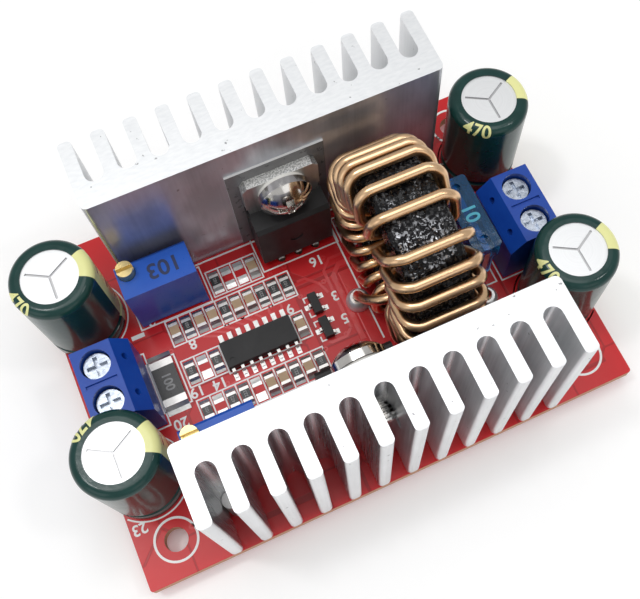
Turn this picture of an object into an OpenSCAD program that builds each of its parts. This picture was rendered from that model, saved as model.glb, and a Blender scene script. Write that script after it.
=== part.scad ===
// Step-up power converter module: a red circuit board with a finned heatsink along each side,
// a toroidal inductor standing between them, a screw terminal at each end and a can capacitor at
// each corner. X runs along the board from the input end to the output end and Z is up. The origin
// is the middle of the mounting hole pattern, on the underside of the board.

/* [Board] */
// Length of the board
board_l = 67; // [61:0.5:80]
// Width of the board
board_w = 48; // [44:0.5:60]
// Thickness of the board
board_t = 1.6; // [1:0.1:2.4]
// Radius of the board's corners
board_r = 0.4; // [0.2:0.1:2]
// Diameter of the mounting holes
mount_hole_d = 3; // [2.5:0.1:3.4]
// Mounting hole centre to the end of the board
mount_inset_x = 5; // [4:0.1:6]
// Mounting hole centre to the side of the board
mount_inset_y = 4.7; // [4:0.1:5]
// Length of lead that stands out under the board
lead_stub = 1.8; // [1:0.1:3]
// Clearance round a lead in its board hole
hole_fit = 0.12; // [0.05:0.01:0.2]

/* [Heatsinks] */
// Number of fins on each heatsink
fin_count = 12; // [10:2:12]
// Thickness of a fin
fin_t = 1.7; // [1.2:0.1:2]
// Thickness of the heatsink's base
sink_base = 3; // [2:0.1:4]
// Height of the heatsinks
sink_h = 23.4; // [22:0.2:30]
// Radius of the fin tip corners
fin_tip_r = 0.55; // [0.1:0.05:0.6]
// Radius of the heatsink's corners beside its flat face
sink_edge_r = 0.8; // [0.2:0.1:1.2]
// Gap between the coil and the flat face of each heatsink
coil_side_gap = 1.7; // [1:0.1:2.4]
// Least gap between a heatsink and the cans at its ends
sink_can_gap = 0.8; // [0.5:0.05:1.5]
// How far the front heatsink stands back towards the input end
sink_stagger = 0.7; // [0:0.1:1]
// Height of the pins that fix a heatsink to the board
sink_pin_h = 6; // [3:0.5:10]
// Clearance between a fixing pin and its slot
sink_pin_fit = 0.05; // [0.02:0.01:0.1]

/* [Power devices] */
// Width of the power transistor and diode
device_w = 10.1; // [9.5:0.1:10.4]
// Height of the moulded body
device_body_h = 9.2; // [8.5:0.1:10]
// Thickness of the device, back of the tab to front of the body
device_t = 4.5; // [4:0.1:5]
// Thickness of the metal tab
tab_t = 1.3; // [1:0.1:1.5]
// Height of the tab above the body
tab_h = 6.3; // [5.8:0.1:6.8]
// Diameter of the hole in the tab
tab_hole_d = 3.7; // [3.6:0.05:4]
// Gap between the rear device and the coil
device_coil_gap = 0.1; // [0.1:0.05:0.5]
// Gap between the body and the board
device_lift = 1.1; // [0.6:0.1:2]
// Spacing of the three leads
device_pitch = 2.54; // [2.3:0.02:2.8]
// Width of a lead
device_lead_w = 0.8; // [0.6:0.05:1]
// Thickness of a lead
device_lead_t = 0.5; // [0.4:0.05:0.6]
// Forward bend of the leads between body and board
device_lead_bend = 1.4; // [0.8:0.1:1.6]
// Thickness of the insulating sheet
insulator_t = 0.3; // [0.1:0.05:0.5]
// Width of the insulating sheet
insulator_w = 13; // [12:0.5:14]
// Height of the insulating sheet
insulator_h = 18; // [17:0.5:19]
// Diameter of the device screw
device_screw_d = 3; // [2.5:0.1:3]
// Diameter of the device screw head
device_head_d = 6.9; // [6:0.1:7]
// Height of the device screw head
device_head_h = 2.8; // [2.2:0.1:3.2]
// Edge of the screw head to the top of the device body
device_head_gap = 0.05; // [0.05:0.05:0.4]
// Length of screw that stands out behind the heatsink base
device_screw_tip = 2.2; // [0.5:0.1:3]
// Thickness of the flange of the insulating bush
bush_flange_t = 0.5; // [0.3:0.1:0.8]

/* [Capacitors] */
// Diameter of the aluminium can
can_d = 10; // [9:0.1:10]
// Height from the board to the top of the can
can_h = 15.6; // [12:0.2:20]
// Thickness of the printed sleeve
sleeve_t = 0.15; // [0.1:0.01:0.25]
// Diameter of the bare disc on top of the can
can_bare_d = 7.1; // [6:0.1:7.4]
// Spacing of the two leads
can_lead_pitch = 5; // [3.5:0.1:5.4]
// Diameter of a lead
can_lead_d = 0.6; // [0.5:0.05:0.8]
// Can centre to the end of the board
can_inset = 4.1; // [4:0.1:5]
// Gap between a front can and the terminal beside it
front_can_gap = 0.2; // [0.1:0.05:0.5]
// Gap between a rear can and the terminal beside it
rear_can_gap = 2.7; // [2:0.1:2.7]

/* [Screw terminals] */
// Width of a two-pole terminal
term_w = 10; // [10:0.1:10.6]
// Depth of a terminal
term_d = 7; // [6.9:0.1:8]
// Height of a terminal
term_h = 10; // [9.6:0.1:12]
// Spacing of the two poles
term_pitch = 5; // [4.8:0.02:5.08]
// Outer face of a terminal to the end of the board
term_inset = 2.1; // [0.5:0.1:2.1]
// Shift of the terminals across the board
term_y = -0.15; // [-0.3:0.05:0.1]
// Depth of the sloping face at the top
term_slope_d = 1.9; // [1:0.1:2.2]
// Height of the sloping face at the top
term_slope_h = 2.4; // [1:0.1:3]
// Diameter of the screw wells
well_d = 3.8; // [3.7:0.05:4]
// Depth of the screw wells
well_depth = 2.5; // [2.3:0.1:2.8]
// Diameter of the terminal screw heads
term_head_d = 3.4; // [3:0.05:3.5]
// Screw head below the top of the terminal
term_head_recess = 1; // [0.5:0.1:1.2]
// Diameter of the terminal screws
term_screw_d = 2.5; // [2:0.05:2.6]
// Width of a wire opening
wire_w = 3.4; // [3:0.1:3.6]
// Height of a wire opening
wire_h = 2.9; // [2:0.1:3]
// Lift of the wire clamp from open to closed
clamp_travel = 1.8; // [1:0.1:1.8]

/* [Trimmers] */
// Length of a trimmer
trim_l = 9.5; // [9.2:0.1:10]
// Width of a trimmer
trim_w = 4.8; // [4.4:0.1:5]
// Height of a trimmer
trim_h = 10; // [8:0.1:11]
// Diameter of the adjusting screw
trim_screw_d = 2.2; // [1.8:0.1:2.4]
// Adjusting screw above the top of the trimmer
trim_screw_rise = 1.4; // [0.8:0.1:2]
// Adjusting screw centre to the nearest two sides
trim_screw_inset = 1.4; // [1.35:0.05:2]
// Radial clearance of the adjusting screw
trim_screw_fit = 0.05; // [0.03:0.01:0.1]
// Gap between the rear trimmer and the rear heatsink
rear_trim_gap = 1.15; // [0.5:0.05:1.2]
// Gap between the front trimmer and the front heatsink
front_trim_gap = 0.3; // [0.2:0.05:1.5]

/* [Inductor] */
// Outer diameter of the core
core_od = 22.9; // [21:0.1:23]
// Inner diameter of the core
core_id = 14.1; // [13.5:0.1:15]
// Width of the core
core_w = 7.6; // [6.5:0.1:7.6]
// Radius of the core's edges
core_edge_r = 0.5; // [0.3:0.1:0.8]
// Diameter of the copper wire
wire_d = 1.3; // [0.9:0.05:1.3]
// Slack of the turns on the left face of the core
left_slack = 0.6; // [0:0.1:0.7]
// Slack of the turns on the right face of the core
right_slack = 0.5; // [0:0.1:0.8]
// Gap between the winding and the axis of its left joint
joint_gap = 0.75; // [0.7:0.05:1]
// Clearance between wire and core
wire_gap = 0.15; // [0.1:0.05:0.2]

/* [Fuse] */
// Length of the fuse body
fuse_l = 10.9; // [10.5:0.1:11.5]
// Thickness of the fuse's grip
fuse_t = 3.7; // [3.4:0.1:4]
// Thickness of the fuse body under the grip
fuse_neck_t = 2.8; // [2.4:0.1:3.2]
// Height of the fuse body
fuse_h = 8.8; // [8:0.1:10]
// Height of the grip at the top of the fuse
fuse_grip_h = 3.2; // [2:0.1:4]
// Gap between the fuse body and the board
fuse_lift = 3; // [1.5:0.1:4]
// Width of a fuse blade
blade_w = 2.8; // [2.4:0.1:3]
// Thickness of a fuse blade
blade_t = 0.8; // [0.6:0.05:0.9]
// Spacing of the two blades
blade_pitch = 7.9; // [7.5:0.1:8]
// Shift of the fuse across the board
fuse_y = 0.7; // [0.5:0.1:1]

/* [Controller chip] */
// Length of the controller's body
chip_l = 9.9; // [9.5:0.1:10]
// Width of the controller's body
chip_w = 3.9; // [3.6:0.1:4]
// Height of the controller's body
chip_h = 1.45; // [1.2:0.05:1.7]
// Spacing of the controller's leads
chip_pitch = 1.27; // [1.2:0.01:1.28]
// Leads on each side of the controller
chip_leads = 8; // [6:1:8]
// Width of a controller lead
chip_lead_w = 0.42; // [0.3:0.02:0.5]
// Middle of the controller across the board
chip_y = -0.15; // [-0.3:0.05:0.1]

/* [Small parts] */
// Length of a chip resistor or capacitor
smd_l = 2; // [1.8:0.05:2.1]
// Width of a chip resistor or capacitor
smd_w = 1.25; // [1:0.05:1.3]
// Height of a chip resistor
resistor_h = 0.55; // [0.4:0.05:0.7]
// Height of a chip capacitor
capacitor_h = 0.85; // [0.6:0.05:1.2]
// Length of a chip's metal end
smd_end = 0.4; // [0.25:0.05:0.5]
// Thickness of the solder under a chip
solder_t = 0.06; // [0.03:0.01:0.1]
// Length of a solder pad
pad_l = 1.15; // [1:0.05:1.2]
// Width of a solder pad
pad_w = 1.35; // [1.3:0.05:1.45]
// Distance between the outer ends of a chip's two pads
pad_span = 3.3; // [3.1:0.05:3.5]
// Length of the current-sensing resistor
shunt_l = 6.4; // [6:0.1:6.6]
// Width of the current-sensing resistor
shunt_w = 3.1; // [2.9:0.05:3.2]
// Height of the current-sensing resistor
shunt_h = 0.75; // [0.6:0.05:1]
// Length of the current-sensing resistor's metal ends
shunt_end = 1; // [0.6:0.1:1.2]
// Length of a small transistor's body
sot_l = 2.9; // [2.7:0.05:3]
// Width of a small transistor's body
sot_w = 1.3; // [1.2:0.05:1.4]
// Height of a small transistor's body
sot_h = 1; // [0.8:0.05:1.1]

/* [Hidden] */
$fn = 64;
cut = 1;
top_z = board_t;
half_l = board_l / 2;
half_w = board_w / 2;
mount_x = half_l - mount_inset_x;
mount_y = half_w - mount_inset_y;
joint_fit = 0.04;
row_gap = 1.1;
row_side_gap = 0.1;
joint_side_gap = 0.6;
sot_foot = 0.55;
sot_pad = [0.8, 0.7];
lead_pad_side = 0.1;
sot_pad_out = sot_pad[0] / 2 - lead_pad_side;
solder_reach = 0.75;
solder_drop = lead_stub - 0.45;

// Inductor: the wire's centre line runs on a rounded rectangle round the core's section
wire_r = wire_d / 2;
core_t = (core_od - core_id) / 2;
core_mid_r = (core_od + core_id) / 4;
eye_r = core_id / 2 - wire_gap - wire_r;
rim_r = core_od / 2 + wire_gap + wire_r;
coil_half_w = core_w / 2 + wire_gap + wire_r;
close_corner = core_edge_r + wire_gap + wire_r;
slack_share = 1.2;
coil_seat = 0.1;
coil_z = top_z + rim_r + wire_r + coil_seat;
corner_steps = 4;
lead_steps = 8;
wire_sides = 8;
// Where each turn crosses the rim, in degrees from the top towards the rear
turn_angles = [193, 167, 152, 137, 121, 104, 84, 64, 48, 38, 28, 12, -6, -30, -46, -58, -74, -92, -110, -128];
turn_count = len(turn_angles);
eye_first = 200;
eye_last = -137;
eye_step = (eye_first - eye_last) / turn_count;
left_x = coil_half_w + left_slack;
right_x = coil_half_w + right_slack;
left_corner = close_corner + slack_share * left_slack;
right_corner = close_corner + slack_share * right_slack;
joint_r = 1.65;
joint_h = 1.6;
joint_drop = 0.33;
lead_top = top_z + joint_h + 0.4;
lead_rise = 2.6;
coil_left = left_x + wire_r;
coil_right = right_x + wire_r;
bead_left = coil_left + joint_gap + joint_r;

// The pieces in line between the terminals, and the free length shared out among them
term_out_x = half_l - term_inset;
inner_x = term_out_x - term_d;
sot_foot_x = sot_w / 2 + sot_foot;
sot_reach = sot_foot_x + sot_pad_out;
line_l = shunt_w + 4 * pad_w + chip_l + 2 * sot_reach + bead_left + coil_right + fuse_t;
spare = 2 * inner_x - line_l;
shunt_gap = spare * 0.05;
field_gap = spare * 0.11;
cell_gap = spare * 0.045;
chip_gap = spare * 0.04;
sot_gap = spare * 0.08;
bead_gap = spare * 0.24;
coil_gap = spare * 0.19;
trim_can_gap = spare * 0.15;
smd_pitch = pad_w + cell_gap;
shunt_x = -inner_x + shunt_gap + shunt_w / 2;
field_x = shunt_x + shunt_w / 2 + field_gap;
chip_x = field_x + 3 * pad_w + 2 * cell_gap + chip_gap + chip_l / 2;
beside_chip_x = chip_x + chip_l / 2 + chip_gap;
sot_x = beside_chip_x + pad_w + sot_gap + sot_reach;
coil_x = sot_x + sot_reach + bead_gap + bead_left;
fuse_x = coil_x + coil_right + coil_gap + fuse_t / 2;

// Heatsinks
can_x = half_l - can_inset;
sleeve_fit = 0.02;
sleeve_out = sleeve_fit + sleeve_t;
sleeved_r = can_d / 2 + sleeve_out;
can_side_x = can_x - sleeved_r;
rear_sink_x = coil_x - coil_left - device_coil_gap - device_w / 2;
front_sink_x = rear_sink_x - sink_stagger;
sink_shift = max(abs(rear_sink_x), abs(front_sink_x));
sink_l = 2 * (can_side_x - sink_can_gap - sink_shift);
fin_pitch = (sink_l - fin_t) / (fin_count - 1);
slot_w = fin_pitch - fin_t;
slot_r = slot_w / 2;
fin_flat = fin_t - 2 * fin_tip_r;
first_fin_x = -sink_l / 2 + fin_t / 2;
sink_face_y = rim_r + wire_r + coil_side_gap;
sink_depth = half_w - sink_face_y;
sink_pin_y = sink_face_y + sink_base + slot_r;
sink_pin_r = slot_r - sink_pin_fit;
sink_pin_tail_r = 0.6;
end_slot_x = (fin_count / 2 - 1) * fin_pitch;

// Power devices, in their own frame: Y runs out from the back of the tab
device_base_z = top_z + device_lift;
device_tab_top = device_body_h + tab_h;
head_r = device_head_d / 2;
device_screw_z = device_base_z + device_body_h + head_r + device_head_gap;
device_back_y = sink_face_y - insulator_t;
device_lead_y = 2.6;
device_foot_y = device_lead_y + device_lead_bend;
device_lead_r = norm([device_lead_w, device_lead_t]) / 2;
device_chamfer = 0.5;
device_toe = 0.3;
device_mark_r = 0.9;
device_mark_depth = 0.12;
tab_side = 0.25;
tab_notch_h = 1.3;
tab_corner = 0.7;
shank_r = device_screw_d / 2;
shank_fit = 0.05;
bush_r = tab_hole_d / 2 - shank_fit;
bush_inset = 0.25;
bush_flange_r = device_head_d / 2 - bush_inset;
insulator_foot = 0.6;
head_rim = 1.1;
head_seat_y = tab_t + bush_flange_t;
head_dome_h = device_head_h - head_rim;
head_dome_r = (head_r * head_r + head_dome_h * head_dome_h) / (2 * head_dome_h);
head_cross_w = 0.9;
head_cross_l = 3.2;
head_cross_depth = 1.2;

// Capacitors: places and the profile of the can
can_r = can_d / 2;
bare_can_h = can_h - sleeve_out;
can_edge_r = 0.9;
can_lift = 0.3;
bead_z = 2.4;
bead_r = 0.55;
bead_out = 0.2;
bung_r = 3.9;
bung_fit = 0.03;
bung_depth = 1.2;
bung_foot = 0.15;
bung_top = can_lift + bung_depth;
vent_w = 0.3;
vent_depth = 0.18;
vent_margin = 0.5;
vent_l = can_bare_d / 2 - vent_margin;
front_can_y = term_y - term_w / 2 - front_can_gap - sleeved_r;
rear_can_y = term_y + term_w / 2 + rear_can_gap + sleeved_r;
can_places = [[-can_x, rear_can_y], [-can_x, front_can_y], [can_x, rear_can_y], [can_x, front_can_y]];

// Screw terminals, in their own frame: X runs in from the wire side, Z up from the board
pole_x = 2.6;
cell_half_w = 2;
cell_front = 0.8;
cell_back = 4.5;
cell_tail = 6;
cell_top = term_h - well_depth;
clamp_fit = 0.1;
clamp_half_w = cell_half_w - clamp_fit;
clamp_wall = 0.5;
clamp_front = cell_front + clamp_fit;
clamp_back = 2 * pole_x - clamp_front;
clamp_floor_z = 0.5;
clamp_floor_t = 0.6;
clamp_plate_t = 1;
clamp_top = cell_top - clamp_fit - clamp_travel;
clamp_roof = clamp_top - clamp_plate_t;
bar_gap = 0.2;
bar_half_w = clamp_half_w - clamp_wall - bar_gap;
bar_t = 0.6;
bar_top = clamp_roof - 0.3;
wire_z = clamp_floor_z + clamp_floor_t / 2;
contact_x = 5.4;
contact_pin_l = 0.8;
contact_pin_w = 1;
contact_r = norm([contact_pin_l, contact_pin_w]) / 2;
screw_fit = 0.05;
term_head_top = term_h - term_head_recess;
term_head_bottom = cell_top + screw_fit;
term_cross_w = 0.55;
term_cross_l = 2.6;
term_cross_depth = 0.7;
pole_mark = [4, 0.45, 0.3];
dimple_r = 0.45;
dimple_depth = 0.9;

// Trimmers
trim_x = -can_side_x + trim_can_gap + trim_l / 2;
rear_trim_y = sink_face_y - rear_trim_gap - trim_w / 2;
front_trim_y = -sink_face_y + front_trim_gap + trim_w / 2;
trim_places = [[trim_x, rear_trim_y], [trim_x, front_trim_y]];
trim_foot_h = 0.4;
trim_foot_l = 1;
trim_bore_depth = 6;
trim_bore_z = trim_h - trim_bore_depth;
trim_slot_w = 0.5;
trim_slot_depth = 0.7;
trim_pin_r = 0.25;
trim_pin_pitch = 2.54;
trim_pin_stagger = 1.27;
trim_chamfer = 0.4;

// Fuse
fuse_z = top_z + fuse_lift;
fuse_neck_l = fuse_l - 0.6;
fuse_grip_z = fuse_h - fuse_grip_h;
fuse_fit = 0.12;
fuse_roof_z = fuse_h - 1.4;
fuse_grip_r = 0.5;
fuse_neck_r = 0.4;
fuse_link_h = 1;
fuse_link_lap = 0.2;
fuse_window_drop = 1;
probe_r = 0.6;
probe_depth = 0.5;
blade_solder = 0.7;

// Controller chip and small parts
chip_lift = 0.15;
chip_draft = 0.12;
chip_mid = chip_h / 2;
chip_dot_r = 0.4;
chip_dot_depth = 0.1;
chip_dot_inset = 0.9;
chip_foot_out = 1.05;
chip_foot_y = chip_w / 2 + chip_foot_out;
lead_t = 0.2;
lead_pad_l = 1;
chip_reach = chip_foot_y - lead_pad_side + lead_pad_l / 2;
rear_trim_side = rear_trim_y - trim_w / 2;
front_trim_side = front_trim_y + trim_w / 2;
row_top_y = mix(chip_y + chip_reach, rear_trim_side, 0.55);
row_low_y = mix(chip_y - chip_reach, front_trim_side, 0.38);
row_mid_y = chip_y + 0.2;
row_rear_y = row_top_y + pad_span + row_gap;
trim_inner_x = trim_x + trim_l / 2;
device_side_x = rear_sink_x - device_w / 2;
row_rear_l = 4 * pad_w + 3 * cell_gap;
row_rear_x = max(trim_inner_x + row_side_gap, (trim_inner_x + device_side_x - row_rear_l) / 2);
lone_chip_x = coil_x - coil_left + row_gap;
lone_chip_y = sink_face_y - insulator_t - device_t + row_gap;
// Each row: start, middle, and its chips, R resistor, C capacitor and a dash for bare pads
smd_rows = [
    [row_rear_x, row_rear_y, "R--C"],
    [field_x, row_top_y, "CRCCRCCRRR"],
    [field_x, row_mid_y, "R-R"],
    [field_x, row_low_y, "R-RR-CCRCR"],
    [beside_chip_x, row_mid_y, "C"],
    [lone_chip_x, lone_chip_y, "R"],
];
function row_cells(r) = [for (i = [0:len(r[2]) - 1]) [r[0] + pad_w / 2 + i * smd_pitch, r[1], r[2][i]]];
smd_cells = [for (r = smd_rows) each row_cells(r)];
pad_reach = (pad_span - smd_l) / 2;
left_joint = [coil_x - coil_left - joint_gap, 0];
right_joint = [(coil_x + coil_right + can_side_x) / 2, fuse_y - fuse_l / 2 - joint_r - joint_side_gap];
solder_climb = 0.7;
shunt_y = -0.1;
shunt_pad_reach = 1.1;
sot_places = [[sot_x, chip_y + 2.1], [sot_x, chip_y - 1.65]];
sot_pitch = 1.9;
sot_mid = sot_h * 0.45;
sot_draft = 0.1;

// Leads that pass through the board: place and radius
sink_xs = [front_sink_x, rear_sink_x];
sides = [-1, 1];
device_lead_holes = [for (k = [0, 1], i = [-1:1])
    [sink_xs[k] + i * device_pitch, sides[k] * (device_back_y - device_foot_y), device_lead_r]];
can_lead_holes = [for (p = can_places, s = sides) [p[0] + s * can_lead_pitch / 2, p[1], can_lead_d / 2]];
contact_holes = [for (s = sides, i = sides)
    [s * (term_out_x - contact_x), term_y + i * term_pitch / 2, contact_r]];
trim_holes = [for (p = trim_places, i = [-1:1])
    [p[0] + i * trim_pin_pitch, p[1] + (i == 0 ? 1 : -1) * trim_pin_stagger, trim_pin_r]];
sink_pin_holes = [for (k = [0, 1], i = sides)
    [sink_xs[k] + i * end_slot_x, sides[k] * sink_pin_y, sink_pin_tail_r]];
coil_holes = [for (p = [left_joint, right_joint]) [p[0], p[1], wire_r]];
lead_holes = concat(
    device_lead_holes, can_lead_holes, contact_holes, trim_holes, sink_pin_holes, coil_holes);
blade_places = [for (s = sides) [fuse_x, fuse_y + s * blade_pitch / 2]];

// Shapes used by several parts

module rounded_rect(l, w, r) {
    square([l - 2 * r, w], center = true);
    square([l, w - 2 * r], center = true);
    for (x = sides, y = sides) translate([x * (l / 2 - r), y * (w / 2 - r)]) circle(r);
}

// A box from its lowest corner to its highest corner
module span(low, high) {
    translate(low) cube(high - low);
}

// Extrudes a Y-Z profile along X, centred, to a width w
module along_x(w) {
    rotate([90, 0, 90]) translate([0, 0, -w / 2]) linear_extrude(w) children();
}

// Extrudes an X-Z profile along Y, centred, to a width w
module along_y(w) {
    rotate([90, 0, 0]) translate([0, 0, -w / 2]) linear_extrude(w) children();
}

// A cross recess, cut down from Z = 0
module cross_recess(w, l, depth) {
    for (a = [0, 90]) rotate([0, 0, a]) translate([-w / 2, -l / 2, -depth]) cube([w, l, depth + cut]);
}

// Circuit board and its solder

// The upright slot that a fuse blade takes, with a clearance all round
module blade_slot(p, fit, h) {
    translate([p[0] - blade_t / 2 - fit, p[1] - blade_w / 2 - fit, 0])
        cube([blade_t + 2 * fit, blade_w + 2 * fit, h]);
}

module circuit_board() {
    through = board_t + 2 * cut;
    color("crimson") difference() {
        linear_extrude(board_t) rounded_rect(board_l, board_w, board_r);
        translate([0, 0, -cut]) {
            for (x = sides, y = sides) translate([x * mount_x, y * mount_y, 0])
                cylinder(d = mount_hole_d, h = through);
            for (h = lead_holes) translate([h[0], h[1], 0]) cylinder(r = h[2] + hole_fit, h = through);
            for (p = blade_places) blade_slot(p, hole_fit, through);
        }
    }
}

// A hollow-sided cone of solder round a lead of radius r, under the board
module solder_cone(r) {
    bore = r + joint_fit;
    rotate_extrude() polygon([
        [bore, 0],
        [bore + solder_reach, 0],
        [bore + solder_reach * 0.45, -solder_drop * 0.35],
        [bore + solder_reach * 0.2, -solder_drop],
        [bore, -solder_drop]]);
}

// The sloping ridge of solder round a fuse blade
module blade_ridge(p) {
    foot = blade_t / 2 + blade_solder;
    crest = blade_t / 2 + blade_solder / 4;
    difference() {
        translate([p[0], p[1], 0]) along_y(blade_w + 2 * blade_solder)
            polygon([[-foot, 0], [foot, 0], [crest, -solder_drop], [-crest, -solder_drop]]);
        translate([0, 0, -solder_drop - cut]) blade_slot(p, joint_fit, solder_drop + 2 * cut);
    }
}

module solder_joints() {
    color("silver") {
        for (h = lead_holes) translate([h[0], h[1], 0]) solder_cone(h[2]);
        for (p = blade_places) blade_ridge(p);
    }
}

// A pair of pads under a chip of length l, with solder drawn up its ends to a height rise
module pad_pair(l, w, reach, under, rise) {
    end = l / 2;
    for (a = [0, 180]) rotate([0, 0, a]) along_x(w) polygon([
        [end - under, 0],
        [end + reach, 0],
        [end + reach, solder_t * 0.6],
        [end + reach * 0.45, solder_t + rise * 0.3],
        [end, solder_t + rise],
        [end, solder_t],
        [end - under, solder_t]]);
}

module flat_pad(x, y, size) {
    translate([x, y, 0]) linear_extrude(solder_t) square(size, center = true);
}

module solder_pads() {
    lead_pad = [chip_lead_w + 2 * lead_pad_side, lead_pad_l];
    pad_y = chip_foot_y - lead_pad_side;
    sot_pad_x = sot_foot_x - lead_pad_side;
    color("silver") translate([0, 0, top_z]) {
        for (c = smd_cells) translate([c[0], c[1], 0])
            pad_pair(smd_l, pad_w, pad_reach, pad_l - pad_reach, solder_rise(c[2]));
        translate([shunt_x, shunt_y, 0])
            pad_pair(shunt_l, shunt_w, shunt_pad_reach, shunt_end, shunt_h * solder_climb);
        for (s = sides, i = [0:chip_leads - 1]) flat_pad(chip_lead_x(i), chip_y + s * pad_y, lead_pad);
        for (p = sot_places) {
            flat_pad(p[0] - sot_pad_x, p[1], sot_pad);
            for (s = sides) flat_pad(p[0] + sot_pad_x, p[1] + s * sot_pitch / 2, sot_pad);
        }
    }
}

// Heatsinks: an extruded comb, with round slot bottoms and eased fin tips

module fin_profile() {
    translate([-fin_t / 2, sink_edge_r]) square([fin_t, sink_depth - fin_tip_r - sink_edge_r]);
    translate([-fin_flat / 2, sink_edge_r]) square([fin_flat, sink_depth - sink_edge_r]);
    for (s = sides) translate([s * fin_flat / 2, sink_depth - fin_tip_r]) circle(fin_tip_r);
}

module slot_profile() {
    circle(slot_r);
    translate([-slot_r, 0]) square([slot_w, sink_depth]);
}

module base_profile() {
    half = sink_l / 2;
    translate([-half, sink_edge_r]) square([sink_l, sink_base + slot_r - sink_edge_r]);
    translate([-half + sink_edge_r, 0]) square([sink_l - 2 * sink_edge_r, sink_edge_r]);
    for (s = sides) translate([s * (half - sink_edge_r), sink_edge_r]) circle(sink_edge_r);
}

module sink_profile() {
    difference() {
        union() {
            base_profile();
            for (i = [0:fin_count - 1]) translate([first_fin_x + i * fin_pitch, 0]) fin_profile();
        }
        for (i = [0:fin_count - 2])
            translate([first_fin_x + (i + 0.5) * fin_pitch, sink_base + slot_r]) slot_profile();
    }
}

// A heatsink as it stands at the rear: its flat face looks towards the middle of the board
module heatsink() {
    color("gainsboro") difference() {
        translate([0, sink_face_y, top_z]) linear_extrude(sink_h) sink_profile();
        translate([0, sink_face_y - cut, device_screw_z]) rotate([-90, 0, 0])
            cylinder(r = shank_r + shank_fit, h = sink_base + device_screw_tip + 2 * cut);
    }
}

module rear_heatsink() {
    translate([rear_sink_x, 0, 0]) heatsink();
}

module front_heatsink() {
    translate([front_sink_x, 0, 0]) mirror([0, 1, 0]) heatsink();
}

// Pins held in the end slots and soldered through the board
module heatsink_pins() {
    color("silver") for (h = sink_pin_holes) translate([h[0], h[1], 0]) {
        translate([0, 0, top_z]) cylinder(r = sink_pin_r, h = sink_pin_h);
        translate([0, 0, -lead_stub]) cylinder(r = sink_pin_tail_r, h = lead_stub + top_z);
    }
}

// Power transistor and diode: the front one looks along +Y and the rear one along -Y

module at_front() {
    translate([front_sink_x, -device_back_y, 0]) children();
}

module at_rear() {
    translate([rear_sink_x, device_back_y, 0]) rotate([0, 0, 180]) children();
}

// Lays a shape along the device screw, with Z = 0 at the back of the tab
module on_screw_axis() {
    translate([0, 0, device_screw_z]) rotate([-90, 0, 0]) children();
}

module device_body() {
    pocket_x = device_w / 2 - tab_side;
    color("dimgray") translate([0, 0, device_base_z]) difference() {
        along_x(device_w) polygon([
            [0, 0],
            [device_t - device_toe, 0],
            [device_t, device_toe],
            [device_t, device_body_h - device_chamfer],
            [device_t - device_chamfer, device_body_h],
            [0, device_body_h]]);
        span([-pocket_x, -cut, -cut], [pocket_x, tab_t, device_body_h + cut]);
        translate([0, device_t - device_mark_depth, device_body_h / 2]) rotate([-90, 0, 0])
            cylinder(r = device_mark_r, h = cut);
    }
}

// One half of the tab's outline, from the foot up to the top: narrow in the body, wide above its notch
module half_tab() {
    half = device_w / 2;
    shoulder = device_body_h + tab_notch_h;
    polygon([
        [0, 0],
        [half - tab_side, 0],
        [half - tab_side, shoulder],
        [half, shoulder],
        [half, device_tab_top - tab_corner],
        [half - tab_corner, device_tab_top],
        [0, device_tab_top]]);
}

// A flat lead that leaves the body, steps forward and goes down through the board
module device_lead() {
    back = device_lead_y - device_lead_t / 2;
    front = device_foot_y - device_lead_t / 2;
    knee = -device_lift * 0.4;
    foot = -device_lift * 0.9;
    rise = device_lift * 0.2;
    end = -device_lift - board_t - lead_stub;
    along_x(device_lead_w) polygon([
        [back, 0],
        [back, knee],
        [front, foot],
        [front, end],
        [front + device_lead_t, end],
        [front + device_lead_t, foot + rise],
        [back + device_lead_t, knee + rise],
        [back + device_lead_t, 0]]);
}

// The tab with its notched sides and cut corners, and three bent leads
module device_frame() {
    color("silver") {
        difference() {
            translate([0, tab_t, device_base_z]) rotate([90, 0, 0]) linear_extrude(tab_t) {
                half_tab();
                mirror([1, 0]) half_tab();
            }
            on_screw_axis() translate([0, 0, -cut]) cylinder(d = tab_hole_d, h = tab_t + 2 * cut);
        }
        for (i = [-1:1]) translate([i * device_pitch, 0, device_base_z]) device_lead();
    }
}

module insulator() {
    foot_z = top_z + insulator_foot;
    color("lightgray") difference() {
        span([-insulator_w / 2, -insulator_t, foot_z], [insulator_w / 2, 0, foot_z + insulator_h]);
        on_screw_axis() translate([0, 0, -insulator_t - cut])
            cylinder(d = tab_hole_d, h = insulator_t + 2 * cut);
    }
}

// A flanged sleeve that keeps the screw clear of the tab
module insulating_bush() {
    color("white") on_screw_axis() difference() {
        union() {
            cylinder(r = bush_r, h = tab_t);
            translate([0, 0, tab_t]) cylinder(r = bush_flange_r, h = bush_flange_t);
        }
        translate([0, 0, -cut]) cylinder(r = shank_r + shank_fit, h = head_seat_y + 2 * cut);
    }
}

// Half section of the screw's domed head
module screw_head() {
    square([head_r, head_rim]);
    translate([0, head_rim]) intersection() {
        translate([0, head_dome_h - head_dome_r]) circle(head_dome_r);
        square([head_r, head_dome_h]);
    }
}

// A dome-headed screw with a cross recess; its tip shows between two fins
module device_screw() {
    back = insulator_t + sink_base + device_screw_tip;
    color("silver") on_screw_axis() difference() {
        union() {
            translate([0, 0, -back]) cylinder(r = shank_r, h = back + head_seat_y + head_rim / 2);
            translate([0, 0, head_seat_y]) rotate_extrude() screw_head();
        }
        translate([0, 0, head_seat_y + device_head_h])
            cross_recess(head_cross_w, head_cross_l, head_cross_depth);
    }
}

// Capacitors

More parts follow.
